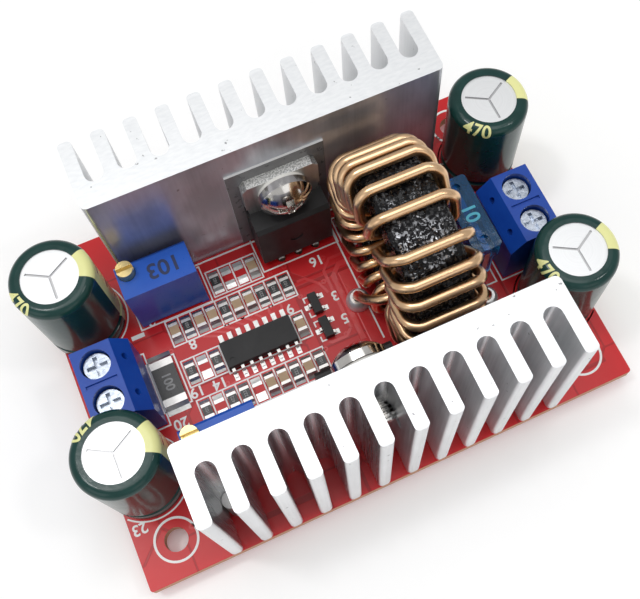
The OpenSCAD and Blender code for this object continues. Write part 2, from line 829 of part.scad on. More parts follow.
// Half section of the can, grown outwards by g, standing on Z = 0
module can_half(g) {
    r = can_r + g;
    h = bare_can_h + g;
    edge = can_edge_r + g;
    foot = can_lift - g;
    difference() {
        union() {
            translate([0, foot]) square([r, h - edge - foot]);
            translate([0, foot]) square([r - edge, h - foot]);
            translate([r - edge, h - edge]) circle(edge);
        }
        translate([r + bead_out, bead_z]) circle(bead_r);
    }
}

module capacitor_can(p) {
    color("whitesmoke") translate([p[0], p[1], top_z]) difference() {
        rotate_extrude() can_half(0);
        translate([0, 0, can_lift - cut]) cylinder(r = bung_r + bung_fit, h = bung_depth + cut);
        for (a = [30, 150, 270]) rotate([0, 0, a])
            translate([0, -vent_w / 2, bare_can_h - vent_depth]) cube([vent_l, vent_w, cut]);
    }
}

// Shrink sleeve: follows the can, turns in over its top edge and stops short of its middle
module capacitor_sleeve(p) {
    color("darkslategray") translate([p[0], p[1], top_z]) rotate_extrude() difference() {
        can_half(sleeve_out);
        can_half(sleeve_fit);
        square([can_bare_d / 2, can_h + cut]);
        square([can_r - can_edge_r / 2, can_lift + sleeve_t]);
    }
}

module capacitor_bungs() {
    color("black") for (p = can_places) translate([p[0], p[1], top_z]) difference() {
        translate([0, 0, bung_foot]) cylinder(r = bung_r, h = bung_top - bung_foot);
        for (s = sides) translate([s * can_lead_pitch / 2, 0, bung_foot - cut])
            cylinder(r = can_lead_d / 2 + bung_fit, h = bung_top + 2 * cut);
    }
}

module capacitor_leads() {
    color("silver") for (h = can_lead_holes) translate([h[0], h[1], -lead_stub])
        cylinder(r = h[2], h = lead_stub + top_z + bung_top);
}

// Screw terminals: end -1 is the input and 1 is the output, pole 1 is the front one and 2 the rear one

module at_end(end) {
    translate([end * term_out_x, term_y, top_z]) rotate([0, 0, end < 0 ? 0 : 180]) children();
}

module at_pole(end, pole) {
    at_end(end) translate([0, end * (pole == 1 ? 1 : -1) * term_pitch / 2, 0]) children();
}

module terminal_profile() {
    polygon([
        [0, 0],
        [term_d, 0],
        [term_d, term_h - term_slope_h],
        [term_d - term_slope_d, term_h],
        [0, term_h]]);
}

// What is cut out for one pole: screw well, clamp cell, contact cell, wire opening and dimple
module pole_cuts() {
    slope = atan2(term_slope_h, term_slope_d);
    translate([pole_x, 0, cell_top - cut]) cylinder(d = well_d, h = well_depth + 2 * cut);
    span([cell_front, -cell_half_w, -cut], [cell_back, cell_half_w, cell_top]);
    span([cell_back - cut, -cell_half_w, -cut], [cell_tail, cell_half_w, bar_top + bar_gap]);
    span([-cut, -wire_w / 2, wire_z], [cell_front + cut, wire_w / 2, wire_z + wire_h]);
    translate([term_d - term_slope_d / 2, 0, term_h - term_slope_h / 2]) rotate([0, slope, 0])
        translate([0, 0, -dimple_depth]) cylinder(r = dimple_r, h = dimple_depth + cut);
}

module terminal_housing(end) {
    color("royalblue") at_end(end) difference() {
        along_y(term_w) terminal_profile();
        for (s = sides) translate([0, s * term_pitch / 2, 0]) pole_cuts();
        translate([pole_x - pole_mark[0] / 2, -pole_mark[1] / 2, term_h - pole_mark[2]])
            cube([pole_mark[0], pole_mark[1], cut]);
    }
}

// Clamp screw: turns in place between the well and the contact bar
module terminal_screw(end, pole) {
    tip = bar_top + screw_fit;
    color("silver") at_pole(end, pole) translate([pole_x, 0, 0]) difference() {
        union() {
            translate([0, 0, tip]) cylinder(d = term_screw_d, h = term_head_top - term_cross_depth - tip);
            translate([0, 0, term_head_bottom])
                cylinder(d = term_head_d, h = term_head_top - term_head_bottom);
        }
        translate([0, 0, term_head_top]) cross_recess(term_cross_w, term_cross_l, term_cross_depth);
    }
}

// Rising cage: its floor lifts the wire against the contact bar as the screw draws it up
module wire_clamp(end, pole) {
    window = clamp_half_w - clamp_wall;
    color("lightsteelblue") at_pole(end, pole) difference() {
        span([clamp_front, -clamp_half_w, clamp_floor_z], [clamp_back, clamp_half_w, clamp_top]);
        span(
            [clamp_front - cut, -window, clamp_floor_z + clamp_floor_t],
            [clamp_back + cut, window, clamp_roof]);
        translate([pole_x, 0, clamp_roof - cut])
            cylinder(r = term_screw_d / 2 + screw_fit, h = clamp_plate_t + 2 * cut);
    }
}

// Contact bars, each bent down into a pin
module terminal_contacts() {
    half_l = contact_pin_l / 2;
    half_w = contact_pin_w / 2;
    bar_bottom = bar_top - bar_t;
    color("silver") for (end = sides, pole = [1, 2]) at_pole(end, pole) {
        span([clamp_front, -bar_half_w, bar_bottom], [contact_x + half_l, bar_half_w, bar_top]);
        span([contact_x - half_l, -half_w, -board_t - lead_stub], [contact_x + half_l, half_w, bar_bottom]);
    }
}

// Trimmers: a sealed box with a slotted brass screw near one corner

module at_trim_screw(p) {
    translate([p[0] - trim_l / 2 + trim_screw_inset, p[1] + trim_w / 2 - trim_screw_inset, top_z]) children();
}

module trimmer_housing(p) {
    half_l = trim_l / 2;
    half_w = trim_w / 2;
    color("royalblue") difference() {
        translate([p[0], p[1], top_z]) difference() {
            along_x(trim_l) polygon([
                [-half_w, 0],
                [half_w, 0],
                [half_w, trim_h - trim_chamfer],
                [half_w - trim_chamfer, trim_h],
                [-half_w, trim_h]]);
            span(
                [-half_l + trim_foot_l, -half_w - cut, -cut],
                [half_l - trim_foot_l, half_w + cut, trim_foot_h]);
        }
        at_trim_screw(p) translate([0, 0, trim_bore_z])
            cylinder(r = trim_screw_d / 2 + trim_screw_fit, h = trim_h - trim_bore_z + cut);
    }
}

module trimmer_screw(p) {
    foot = trim_bore_z + trim_screw_fit;
    top = trim_h + trim_screw_rise;
    color("gold") at_trim_screw(p) difference() {
        translate([0, 0, foot]) cylinder(d = trim_screw_d, h = top - foot);
        translate([-trim_screw_d, -trim_slot_w / 2, top - trim_slot_depth])
            cube([2 * trim_screw_d, trim_slot_w, trim_slot_depth + cut]);
    }
}

module trimmer_pins() {
    color("silver") for (h = trim_holes) translate([h[0], h[1], -lead_stub])
        cylinder(r = h[2], h = lead_stub + top_z + trim_foot_h);
}

// Inductor

module inductor_core() {
    color("black") translate([coil_x, 0, coil_z]) rotate([0, 90, 0]) rotate_extrude()
        translate([core_mid_r, 0]) rounded_rect(core_t, core_w, core_edge_r);
}

// A point of the coil: along the board, out from the core's axis, at an angle from the top
function coil_point(x, r, a) = [coil_x + x, r * sin(a), coil_z + r * cos(a)];

function mix(a, b, u) = a + (b - a) * u;

// A rounded corner of radius k about (x, r), from angle a0 on; the turn leans from t0 to t1
function corner(x, r, k, a0, t0, t1) = [for (i = [0:corner_steps]) let (u = i / corner_steps, a = a0 - 90 * u)
    coil_point(x + k * cos(a), r + k * sin(a), mix(t0, t1, u))];

function eye_angle(i) = eye_first - i * eye_step;

// One turn: across the eye to the left, out along the left face, over the rim and down the right face
function turn(i) = let (
        rim = turn_angles[i],
        eye = eye_angle(i),
        next = eye_angle(i + 1),
        left = left_x - left_corner,
        right = right_x - right_corner)
    concat(
        corner(-left, eye_r + left_corner, left_corner, 270, eye, mix(eye, rim, 0.25)),
        corner(-left, rim_r - left_corner, left_corner, 180, mix(eye, rim, 0.75), rim),
        corner(right, rim_r - right_corner, right_corner, 90, rim, mix(rim, next, 0.25)),
        corner(right, eye_r + right_corner, right_corner, 0, mix(rim, next, 0.75), next));

function bezier(a, b, c, d, n) = [for (i = [0:n]) let (t = i / n, u = 1 - t)
    u * u * u * a + 3 * u * u * t * b + 3 * u * t * t * c + t * t * t * d];

// The wire rises from its right joint into the eye, and leaves the eye on the left for the other joint
right_foot = [right_joint[0], right_joint[1], lead_top];
left_foot = [left_joint[0], left_joint[1], lead_top];
eye_in = coil_point(right_x - right_corner, eye_r, eye_angle(0));
eye_out = coil_point(left_corner - left_x, eye_r, eye_angle(turn_count));
right_foot_pull = [-1.8, 0.2, lead_rise];
eye_in_pull = [2.4, -0.4, 0];
eye_out_pull = [-4, 0, -0.3];
left_foot_pull = [-0.4, -0.3, lead_rise];
right_lead = concat(
    [[right_joint[0], right_joint[1], -lead_stub]],
    bezier(right_foot, right_foot + right_foot_pull, eye_in + eye_in_pull, eye_in, lead_steps));
left_lead = concat(
    bezier(eye_out, eye_out + eye_out_pull, left_foot + left_foot_pull, left_foot, lead_steps),
    [[left_joint[0], left_joint[1], -lead_stub]]);

turns = [for (i = [0:turn_count - 1]) each turn(i)];
wire_path = concat(right_lead, turns, left_lead);

function unit(v) = v / norm(v);
function tangent(p, i) = unit(p[min(i + 1, len(p) - 1)] - p[max(i - 1, 0)]);
function square_to(v, t) = unit(v - (v * t) * t);

// Sweeps a round section along a path, turning it no more than the path does
module swept_wire(path, r, n) {
    last = len(path) - 1;
    ups = [for (i = 0, u = square_to([0.3, 1, 0.1], tangent(path, 0)); i <= last;
        i = i + 1, u = i <= last ? square_to(u, tangent(path, i)) : u) u];
    rings = [for (i = [0:last]) let (u = ups[i], v = cross(tangent(path, i), u))
        each [for (k = [0:n - 1]) path[i] + r * (cos(360 * k / n) * u + sin(360 * k / n) * v)]];
    walls = [for (i = [0:last - 1], k = [0:n - 1])
        let (a = i * n + k, b = i * n + (k + 1) % n, c = a + n, d = b + n)
        each [[a, c, b], [b, c, d]]];
    first_end = [for (k = [0:n - 1]) k];
    last_end = [for (k = [n - 1:-1:0]) last * n + k];
    polyhedron(rings, concat(walls, [first_end, last_end]));
}

module inductor_winding() {
    color("peru") swept_wire(wire_path, wire_r, wire_sides);
}

// A bead of solder where each end of the wire meets the board
module inductor_solder() {
    color("silver") for (p = [left_joint, right_joint]) translate([p[0], p[1], top_z])
        rotate_extrude() difference() {
            intersection() {
                translate([0, joint_drop]) circle(joint_r);
                square([2 * joint_r, joint_h]);
            }
            square([wire_r + joint_fit, joint_h + cut]);
        }
}

// Blade fuse, standing across the board

module at_fuse() {
    translate([fuse_x, fuse_y, fuse_z]) children();
}

module fuse_body() {
    slot_x = blade_t / 2 + fuse_fit;
    slot_y = blade_w / 2 + fuse_fit;
    reach = blade_pitch / 2;
    color("deepskyblue") at_fuse() difference() {
        union() {
            translate([0, 0, fuse_grip_z]) linear_extrude(fuse_grip_h)
                rounded_rect(fuse_t, fuse_l, fuse_grip_r);
            linear_extrude(fuse_grip_z) rounded_rect(fuse_neck_t, fuse_neck_l, fuse_neck_r);
        }
        for (s = sides) translate([0, s * reach, 0]) {
            span([-slot_x, -slot_y, -cut], [slot_x, slot_y, fuse_roof_z]);
            translate([0, 0, fuse_h - probe_depth]) cylinder(r = probe_r, h = probe_depth + cut);
        }
        span([-slot_x, -reach, fuse_grip_z - fuse_window_drop], [slot_x, reach, fuse_roof_z]);
    }
}

// Two blades joined by a thin link, stamped from one strip
module fuse_element() {
    top = fuse_roof_z - fuse_fit;
    half_t = blade_t / 2;
    half_w = blade_w / 2;
    inner = blade_pitch / 2 - half_w + fuse_link_lap;
    color("silver") at_fuse() {
        for (s = sides) translate([0, s * blade_pitch / 2, 0])
            span([-half_t, -half_w, -fuse_lift - board_t - lead_stub], [half_t, half_w, top]);
        span([-half_t, -inner, top - fuse_link_h], [half_t, inner, top]);
    }
}

// Controller chip

function chip_lead_x(i) = chip_x + (i - (chip_leads - 1) / 2) * chip_pitch;

module controller_body() {
    half = chip_w / 2;
    foot = half - chip_draft;
    color("darkslategray") translate([chip_x, chip_y, top_z + chip_lift]) difference() {
        along_x(chip_l) polygon([
            [-foot, 0], [foot, 0], [half, chip_mid], [foot, chip_h], [-foot, chip_h], [-half, chip_mid]]);
        translate([-chip_l / 2 + chip_dot_inset, -half + chip_dot_inset, chip_h - chip_dot_depth])
            cylinder(r = chip_dot_r, h = cut);
    }
}

// A gull-wing lead that leaves a body at y0 below height z1 and comes down to a foot that ends at y1
module gull_lead(w, y0, y1, z1) {
    run = y1 - y0;
    along_x(w) polygon([
        [y0, z1],
        [y0 + run * 0.45, z1],
        [y0 + run * 0.62, lead_t],
        [y1, lead_t],
        [y1, 0],
        [y0 + run * 0.5, 0],
        [y0 + run * 0.33, z1 - lead_t],
        [y0, z1 - lead_t]]);
}

module controller_leads() {
    rise = chip_mid + lead_t + chip_lift - solder_t;
    color("silver") for (i = [0:chip_leads - 1], a = [0, 180])
        translate([chip_lead_x(i), chip_y, top_z + solder_t]) rotate([0, 0, a])
            gull_lead(chip_lead_w, chip_w / 2, chip_foot_y, rise);
}

// Small transistors: one lead on the input side and two on the other

module small_transistor_bodies() {
    half = sot_w / 2;
    foot = half - sot_draft;
    color("black") for (p = sot_places) translate([p[0], p[1], top_z + chip_lift]) along_y(sot_l) polygon([
        [-foot, 0], [foot, 0], [half, sot_mid], [foot, sot_h], [-foot, sot_h], [-half, sot_mid]]);
}

module small_transistor_leads() {
    rise = sot_mid + lead_t / 2 + chip_lift - solder_t;
    leads = [[0, 90], [-sot_pitch / 2, -90], [sot_pitch / 2, -90]];
    color("silver") for (p = sot_places, l = leads)
        translate([p[0], p[1] + l[0], top_z + solder_t]) rotate([0, 0, l[1]])
            gull_lead(chip_lead_w, sot_w / 2, sot_foot_x, rise);
}

// Chip resistors and capacitors, each lying across its row

module smd_body(l, w, h, end) {
    span([-w / 2, -l / 2 + end, 0], [w / 2, l / 2 - end, h]);
}

module smd_ends(l, w, h, end) {
    for (s = sides) translate([0, s * (l - end) / 2, 0]) span([-w / 2, -end / 2, 0], [w / 2, end / 2, h]);
}

function smd_height(kind) = kind == "R" ? resistor_h : capacitor_h;
function solder_rise(kind) = kind == "-" ? solder_t : smd_height(kind) * solder_climb;

module at_cell(c) {
    translate([c[0], c[1], top_z + solder_t]) children();
}

module chip_resistors() {
    color("black") for (c = smd_cells) if (c[2] == "R")
        at_cell(c) smd_body(smd_l, smd_w, resistor_h, smd_end);
}

module chip_capacitors() {
    color("tan") for (c = smd_cells) if (c[2] == "C")
        at_cell(c) smd_body(smd_l, smd_w, capacitor_h, smd_end);
}

module chip_end_caps() {
    color("silver") for (c = smd_cells) if (c[2] != "-")
        at_cell(c) smd_ends(smd_l, smd_w, smd_height(c[2]), smd_end);
}

module at_shunt() {
    translate([shunt_x, shunt_y, top_z + solder_t]) children();
}

module shunt_resistor() {
    color("black") at_shunt() smd_body(shunt_l, shunt_w, shunt_h, shunt_end);
}

module shunt_end_caps() {
    color("silver") at_shunt() smd_ends(shunt_l, shunt_w, shunt_h, shunt_end);
}

module insulating_bushes() {
    at_front() insulating_bush();
    at_rear() insulating_bush();
}

module device_screws() {
    at_front() device_screw();
    at_rear() device_screw();
}

circuit_board();
front_heatsink();
rear_heatsink();
heatsink_pins();
at_front() insulator();  // front_insulator
at_rear() insulator();  // rear_insulator
insulating_bushes();
device_screws();
at_front() device_body();  // switch_transistor_body
at_front() device_frame();  // switch_transistor_frame
at_rear() device_body();  // output_diode_body
at_rear() device_frame();  // output_diode_frame
capacitor_sleeve(can_places[0]);  // capacitor_sleeve_1
capacitor_sleeve(can_places[1]);  // capacitor_sleeve_2
capacitor_sleeve(can_places[2]);  // capacitor_sleeve_3
capacitor_sleeve(can_places[3]);  // capacitor_sleeve_4
capacitor_can(can_places[0]);  // capacitor_can_1
capacitor_can(can_places[1]);  // capacitor_can_2
capacitor_can(can_places[2]);  // capacitor_can_3
capacitor_can(can_places[3]);  // capacitor_can_4
capacitor_bungs();
capacitor_leads();
terminal_housing(-1);  // input_terminal_housing
terminal_housing(1);  // output_terminal_housing
terminal_screw(-1, 1);  // input_screw_1
terminal_screw(-1, 2);  // input_screw_2
terminal_screw(1, 1);  // output_screw_1
terminal_screw(1, 2);  // output_screw_2
wire_clamp(-1, 1);  // input_clamp_1
wire_clamp(-1, 2);  // input_clamp_2
wire_clamp(1, 1);  // output_clamp_1
wire_clamp(1, 2);  // output_clamp_2
terminal_contacts();
trimmer_housing(trim_places[0]);  // rear_trimmer_housing
trimmer_housing(trim_places[1]);  // front_trimmer_housing
trimmer_screw(trim_places[0]);  // rear_trimmer_screw
trimmer_screw(trim_places[1]);  // front_trimmer_screw
trimmer_pins();
inductor_core();
inductor_winding();
inductor_solder();
fuse_body();
fuse_element();
controller_body();
controller_leads();
small_transistor_bodies();
small_transistor_leads();
chip_resistors();
chip_capacitors();
chip_end_caps();
shunt_resistor();
shunt_end_caps();
solder_pads();
solder_joints();
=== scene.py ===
# Looks of an open step-up converter board, laid over its imported solids.
# Places come from the imported nodes or are given as numbers here, and the pieces' own sums are in
# millimetres.
import bmesh
import bpy
import math
import numpy as np
from mathutils import Matrix, Vector


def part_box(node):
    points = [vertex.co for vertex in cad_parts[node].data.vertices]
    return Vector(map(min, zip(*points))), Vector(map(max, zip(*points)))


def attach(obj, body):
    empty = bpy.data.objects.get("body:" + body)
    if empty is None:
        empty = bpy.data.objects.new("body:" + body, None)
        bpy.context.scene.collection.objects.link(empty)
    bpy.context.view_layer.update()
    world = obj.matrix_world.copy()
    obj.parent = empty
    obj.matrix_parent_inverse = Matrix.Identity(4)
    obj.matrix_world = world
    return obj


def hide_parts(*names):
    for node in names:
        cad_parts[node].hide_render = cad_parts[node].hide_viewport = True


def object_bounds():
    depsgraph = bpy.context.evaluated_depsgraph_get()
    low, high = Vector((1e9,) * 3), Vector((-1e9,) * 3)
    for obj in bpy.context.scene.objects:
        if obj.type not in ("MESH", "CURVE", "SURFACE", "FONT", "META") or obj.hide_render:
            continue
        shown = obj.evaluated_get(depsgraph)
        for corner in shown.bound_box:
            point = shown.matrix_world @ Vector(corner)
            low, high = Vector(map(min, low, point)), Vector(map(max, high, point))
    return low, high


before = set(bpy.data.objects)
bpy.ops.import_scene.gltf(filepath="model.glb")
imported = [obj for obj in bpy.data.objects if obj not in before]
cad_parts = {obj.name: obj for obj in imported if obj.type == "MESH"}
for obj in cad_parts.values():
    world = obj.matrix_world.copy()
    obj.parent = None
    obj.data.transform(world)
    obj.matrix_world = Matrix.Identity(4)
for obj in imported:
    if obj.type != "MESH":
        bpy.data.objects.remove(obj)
cad_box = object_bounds()


# Circuit board: glass-fibre laminate routed to shape, with etched copper under a glossy red solder mask.
# Copper pours show through the mask as a lighter red, and the routed edge is bare pale laminate.
class Socket:
    """One output of a shader node. Arithmetic on it, from either side, adds Math nodes to its tree."""

    def __init__(self, tree, output):
        self.tree = tree
        self.output = output

    def node(self, kind, settings, sockets, output=0):
        """Adds a node: its settings are set first, then each named socket gets a value or a link."""
        made = self.tree.nodes.new("ShaderNode" + kind)
        for name, value in settings.items():
            setattr(made, name, value)
        for name, value in sockets.items():
            if isinstance(value, Socket):
                self.tree.links.new(value.output, made.inputs[name])
            else:
                made.inputs[name].default_value = value
        return Socket(self.tree, made.outputs[output])

    def math(self, operation, *values):
        """Adds a Math node for one operation on sockets and numbers."""
        return self.node("Math", {"operation": operation}, dict(enumerate(values)))

    def __add__(self, other):
        return self.math("ADD", self, other)

    def __sub__(self, other):
        return self.math("SUBTRACT", self, other)

    def __rsub__(self, other):
        return self.math("SUBTRACT", other, self)

    def __mul__(self, other):
        return self.math("MULTIPLY", self, other)

    def __truediv__(self, other):
        return self.math("DIVIDE", self, other)

    def __rtruediv__(self, other):
        return self.math("DIVIDE", other, self)

    def __abs__(self):
        return self.math("ABSOLUTE", self)

    __radd__ = __add__
    __rmul__ = __mul__


def start_finish(name):
    """A new material, its shader, and the place on the surface, in millimetres, as a Socket."""
    material = bpy.data.materials.new(name)
    material.use_nodes = True
    tree = material.node_tree
    metres = Socket(tree, tree.nodes.new("ShaderNodeTexCoord").outputs["Object"])
    place = metres.node("VectorMath", {"operation": "SCALE"}, {0: metres, "Scale": 1000.0})
    return material, tree.nodes["Principled BSDF"], place


def set_shader(shader, values):
    """Gives each named socket of a shader its number or colour, or links a Socket to it."""
    for name, value in values.items():
        if isinstance(value, Socket):
            value.tree.links.new(value.output, shader.inputs[name])
        else:
            shader.inputs[name].default_value = value


def axis(vector, letter):
    """One component of a vector."""
    return vector.node("SeparateXYZ", {}, {0: vector}, letter)


def grain(place, scale, stretch=(1, 1, 1), detail=3.0):
    """Noise from 0 to 1 with scale features a millimetre; a stretch below 1 draws it out along that axis."""
    drawn = place.node("VectorMath", {"operation": "MULTIPLY"}, {0: place, 1: stretch})
    return place.node("TexNoise", {}, {"Vector": drawn, "Scale": scale, "Detail": detail})


def ramp(value, low, high):
    """A smooth climb from 0, where value is low, to 1, where it is high."""
    settings = {"interpolation_type": "SMOOTHSTEP"}
    return value.node("MapRange", settings, {"Value": value, "From Min": low, "From Max": high})


def between(share, low, high):
    """The colour that lies that share of the way from low to high."""
    return share.node("Mix", {"data_type": "RGBA"}, {0: share, 6: low, 7: high}, output=2)


def dented(height, strength, depth):
    """The normal of a surface that rises by depth, in millimetres, where height goes from 0 to 1."""
    return height.node("Bump", {}, {"Height": height, "Strength": strength, "Distance": depth / 1000})


def surface_normal(place):
    """The direction that the surface faces."""
    return place.node("NewGeometry", {}, {}, "Normal")


def dress(material, *names):
    """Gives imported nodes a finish."""
    for name in names:
        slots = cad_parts[name].data.materials
        slots.clear()
        slots.append(material)


mask_over_copper = (0.58, 0.010, 0.014, 1)
mask_over_laminate = (0.40, 0.005, 0.008, 1)
bare_laminate = (0.62, 0.42, 0.26, 1)
board_red, shader, place = start_finish("board_red")
layout = place.node("VectorMath", {"operation": "MULTIPLY"}, {0: place, 1: (1, 1, 3)})
cells = {"Vector": layout, "Scale": 0.11, "Randomness": 0.5}
nearest = place.node("TexVoronoi", {"distance": "CHEBYCHEV"}, cells)
second = place.node("TexVoronoi", {"distance": "CHEBYCHEV", "feature": "F2"}, cells)
pour = ramp(second - nearest, 0.022, 0.034)
weave = grain(place, 2.2, detail=2.0)
mask = between(pour, mask_over_laminate, mask_over_copper)
flat = ramp(abs(axis(surface_normal(place), "Z")), 0.4, 0.6)
strands = grain(place, 3.0, (0.3, 0.3, 6.0))
edge = between(strands, (0.36, 0.12, 0.08, 1), bare_laminate)
set_shader(shader, {
    "Base Color": between(flat, edge, mask),
    "Roughness": 0.75 - 0.45 * flat + 0.08 * weave,
    "Coat Weight": 0.15 * flat,
    "Normal": dented(pour + 0.25 * weave, 0.35, 0.05),
    "Coat Roughness": 0.12,
    "Specular IOR Level": 0.3,
})
dress(board_red, "circuit_board")


# Tracks and vias: copper etched on top of the laminate, under the same red mask, so the tracks stand up
# by a hair. Fan-out tracks join each controller lead to a chip's pad, wider routes pass between the small
# transistors and the coil, and plated vias lead through to the other side.
def box_corners(name):
    """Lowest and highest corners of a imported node, in millimetres."""
    low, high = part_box(name)
    return np.array(low) * 1000, np.array(high) * 1000


board_high = box_corners("circuit_board")[1]
board_top = board_high[2]
chip_low, chip_high = box_corners("controller_leads")
chip_middle = (chip_low + chip_high) / 2
leads_a_side = 8
lead_pitch = 1.27
lead_x = chip_middle[0] + lead_pitch * (np.arange(leads_a_side) - (leads_a_side - 1) / 2)
cell_pitch = 1.7865
cell_half_height = 1.95
# Each row of chips: the first cell's middle x, the row's y and the number of cells.
row_places = {
    "rear": (-11.565, 10.62, 4),
    "top": (-19.073, 6.22, 10),
    "middle": (-19.073, 0.05, 3),
    "low": (-19.073, -5.811, 10),
    "beside": (-3.474, 0.05, 1),
    "lone": (7.48, 10.90, 1),
}


def row_cells(name):
    """Middles of the cells in one row of chips."""
    first, height, count = row_places[name]
    return np.column_stack([first + cell_pitch * np.arange(count), np.full(count, height)])


def closed_piece(name, mesh):
    """An object of a mesh whose points that meet are merged and whose faces are turned outwards."""
    shell = bmesh.new()
    shell.from_mesh(mesh)
    bmesh.ops.remove_doubles(shell, verts=shell.verts, dist=1e-8)
    bmesh.ops.recalc_face_normals(shell, faces=shell.faces)
    shell.to_mesh(mesh)
    shell.free()
    made = bpy.data.objects.new(name, mesh)
    bpy.context.scene.collection.objects.link(made)
    return made


def fit(piece, finish, body="module"):
    """Gives a new piece its finish and the body that carries it."""
    piece.data.materials.clear()
    piece.data.materials.append(finish)
    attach(piece, body)


def woven(name, grids, wrap_rows=False, wrap_columns=False):
    """A mesh of stacked grids of points: each cell is one face, and a wrapped side joins its far side.
    Merging closes the poles and seams."""
    count, rows, columns = grids.shape[:3]
    index = np.arange(count * rows * columns).reshape(count, rows, columns)
    if wrap_rows:
        index = np.concatenate([index, index[:, :1]], axis=1)
    if wrap_columns:
        index = np.concatenate([index, index[:, :, :1]], axis=2)
    faces = np.stack([index[:, :-1, :-1], index[:, :-1, 1:], index[:, 1:, 1:], index[:, 1:, :-1]], axis=-1)
    mesh = bpy.data.meshes.new(name)
    mesh.from_pydata((grids.reshape(-1, 3) / 1000).tolist(), [], faces.reshape(-1, 4).tolist())
    return closed_piece(name, mesh)


def swept(paths, sides, profile):
    """Grids of a closed profile carried along paths: at each point the profile's first axis lies along
    the side vector and its second along the cross product of the path's direction and that side."""
    along = np.gradient(paths, axis=1)
    along = along / np.linalg.norm(along, axis=-1, keepdims=True)
    sides = sides - (sides * along).sum(-1, keepdims=True) * along
    sides = sides / np.linalg.norm(sides, axis=-1, keepdims=True)
    ups = np.cross(along, sides)
    skin = paths[:, :, None] + sides[:, :, None] * profile[:, :1] + ups[:, :, None] * profile[:, 1:]
    ends = np.repeat(paths[:, [0, -1], None], len(profile), axis=2)
    return np.concatenate([ends[:, :1], skin, ends[:, 1:]], axis=1)


def on_board(points, lift=0.0):
    """Plan points set at the height of the board's top face, plus a lift."""
    return np.concatenate([points, np.full(points.shape[:-1] + (1,), board_top + lift)], axis=-1)


track_width = 0.36
track_height = 0.035
track_section = np.array([[-0.5, -0.2], [0.5, -0.2], [0.46, 1.0], [-0.46, 1.0]])
lead_reach = 3.1
pad_reach = 1.3
straight_start = 0.25
straight_end = 0.5
fan_out = []
for side, row in ((1, "top"), (-1, "low")):
    lead_y = np.full(leads_a_side, chip_middle[1] + side * lead_reach)
    pad_y = np.full(leads_a_side, row_places[row][1] - side * pad_reach)
    pad_x = row_cells(row)[1:1 + leads_a_side, 0]
    slant = np.minimum(np.abs(pad_x - lead_x), np.abs(pad_y - lead_y) - straight_end)
    knee_y = lead_y + side * straight_start
    fan_out.append(np.stack([
        np.column_stack([lead_x, lead_y]),
        np.column_stack([lead_x, knee_y]),
        np.column_stack([pad_x, knee_y + side * slant]),
        np.column_stack([pad_x, pad_y]),
    ], axis=1))
link_shift = np.array([-1.2, -1.2, 0.0, 0.0])
link_y = np.array([7.5, 8.0, 9.0, 9.4])
link_x = row_cells("rear")[:, :1] + link_shift
rear_links = np.stack([link_x, link_y + 0 * link_x], axis=-1)
routes = np.array([
    [[6.2, 7.45], [3.9, 7.45], [2.5, 6.05], [2.5, -3.0]],
    [[2.5, -3.0], [1.6, -3.9], [-0.6, -3.9], [-1.4, -3.2]],
    [[-1.5, 6.1], [-0.3, 6.1], [1.2, 4.6], [1.8, 2.9]],
    [[9.4, 6.15], [4.75, 6.15], [3.45, 4.85], [3.45, -5.2]],
    [[6.0, 5.0], [6.0, 2.0], [6.0, -4.0], [6.0, -6.9]],
    [[9.4, 7.8], [8.6, 7.8], [7.6, 7.8], [6.9, 7.8]],
])
route_widths = (0.45, 0.45, 0.4, 0.85, 3.8, 1.2)
runs = np.concatenate(fan_out + [rear_links, routes])
run_widths = (track_width,) * (len(runs) - len(routes)) + route_widths
tracks = on_board(runs)
track_sides = np.cross(np.gradient(tracks, axis=1), [0.0, 0.0, -1.0])
track_grids = np.concatenate([
    swept(path[None], sides[None], track_section * [width, track_height])
    for path, sides, width in zip(tracks, track_sides, run_widths)
])


def mottled(name, scale, dark, pale, roughness, dent=None, stretch=(1, 1, 1), detail=3.0, constants=None):
    """A finish from one noise: the colour lies between two, the roughness is the first number plus the
    second times the noise, and a dent gives the strength of a bump and its depth in millimetres."""
    material, shader, place = start_finish(name)
    noise = grain(place, scale, stretch, detail)
    values = {"Base Color": between(noise, dark, pale), "Roughness": roughness[0] + roughness[1] * noise}
    if dent:
        values["Normal"] = dented(noise, *dent)
    set_shader(shader, {**values, **(constants or {})})
    return material


mask_on_track = mottled(
    "mask_on_track", 2.2, (0.58, 0.012, 0.016, 1), (0.68, 0.020, 0.025, 1), (0.28, 0.10),
    detail=2.0, constants={"Coat Weight": 0.25})
fit(woven("board_tracks", track_grids, wrap_columns=True), mask_on_track)

via_places = np.array([
    [-12.5, 4.2], [-10.2, 4.5], [-6.1, 4.3], [-1.9, 3.9], [1.9, 4.6], [3.2, 7.9], [-20.6, 3.9], [-15.4, -3.4],
    [-11.4, -8.6], [-6.3, -8.2], [-1.8, -4.4], [1.6, -3.6], [2.5, 2.1], [2.4, -6.9], [-4.4, 8.6], [-2.2, 8.9],
    [18.3, 9.7], [20.4, 10.6], [19.5, -11.8], [17.6, -12.9], [-26.2, -18.6], [26.1, 18.3], [24.3, -18.9],
])


def circle(count):
    """Points evenly round a circle of radius 1."""
    turn = np.linspace(0, 2 * np.pi, count, endpoint=False)
    return np.column_stack([np.cos(turn), np.sin(turn)])


via_profile = np.array([[0.12, 0.0], [0.14, 0.05], [0.36, 0.05], [0.38, 0.0]])
via_grids = on_board(via_places[:, None, None] + via_profile[:, None, :1] * circle(20))
via_grids[..., 2] += via_profile[None, :, None, 1]
fit(woven("board_vias", via_grids, wrap_rows=True, wrap_columns=True), mask_on_track)


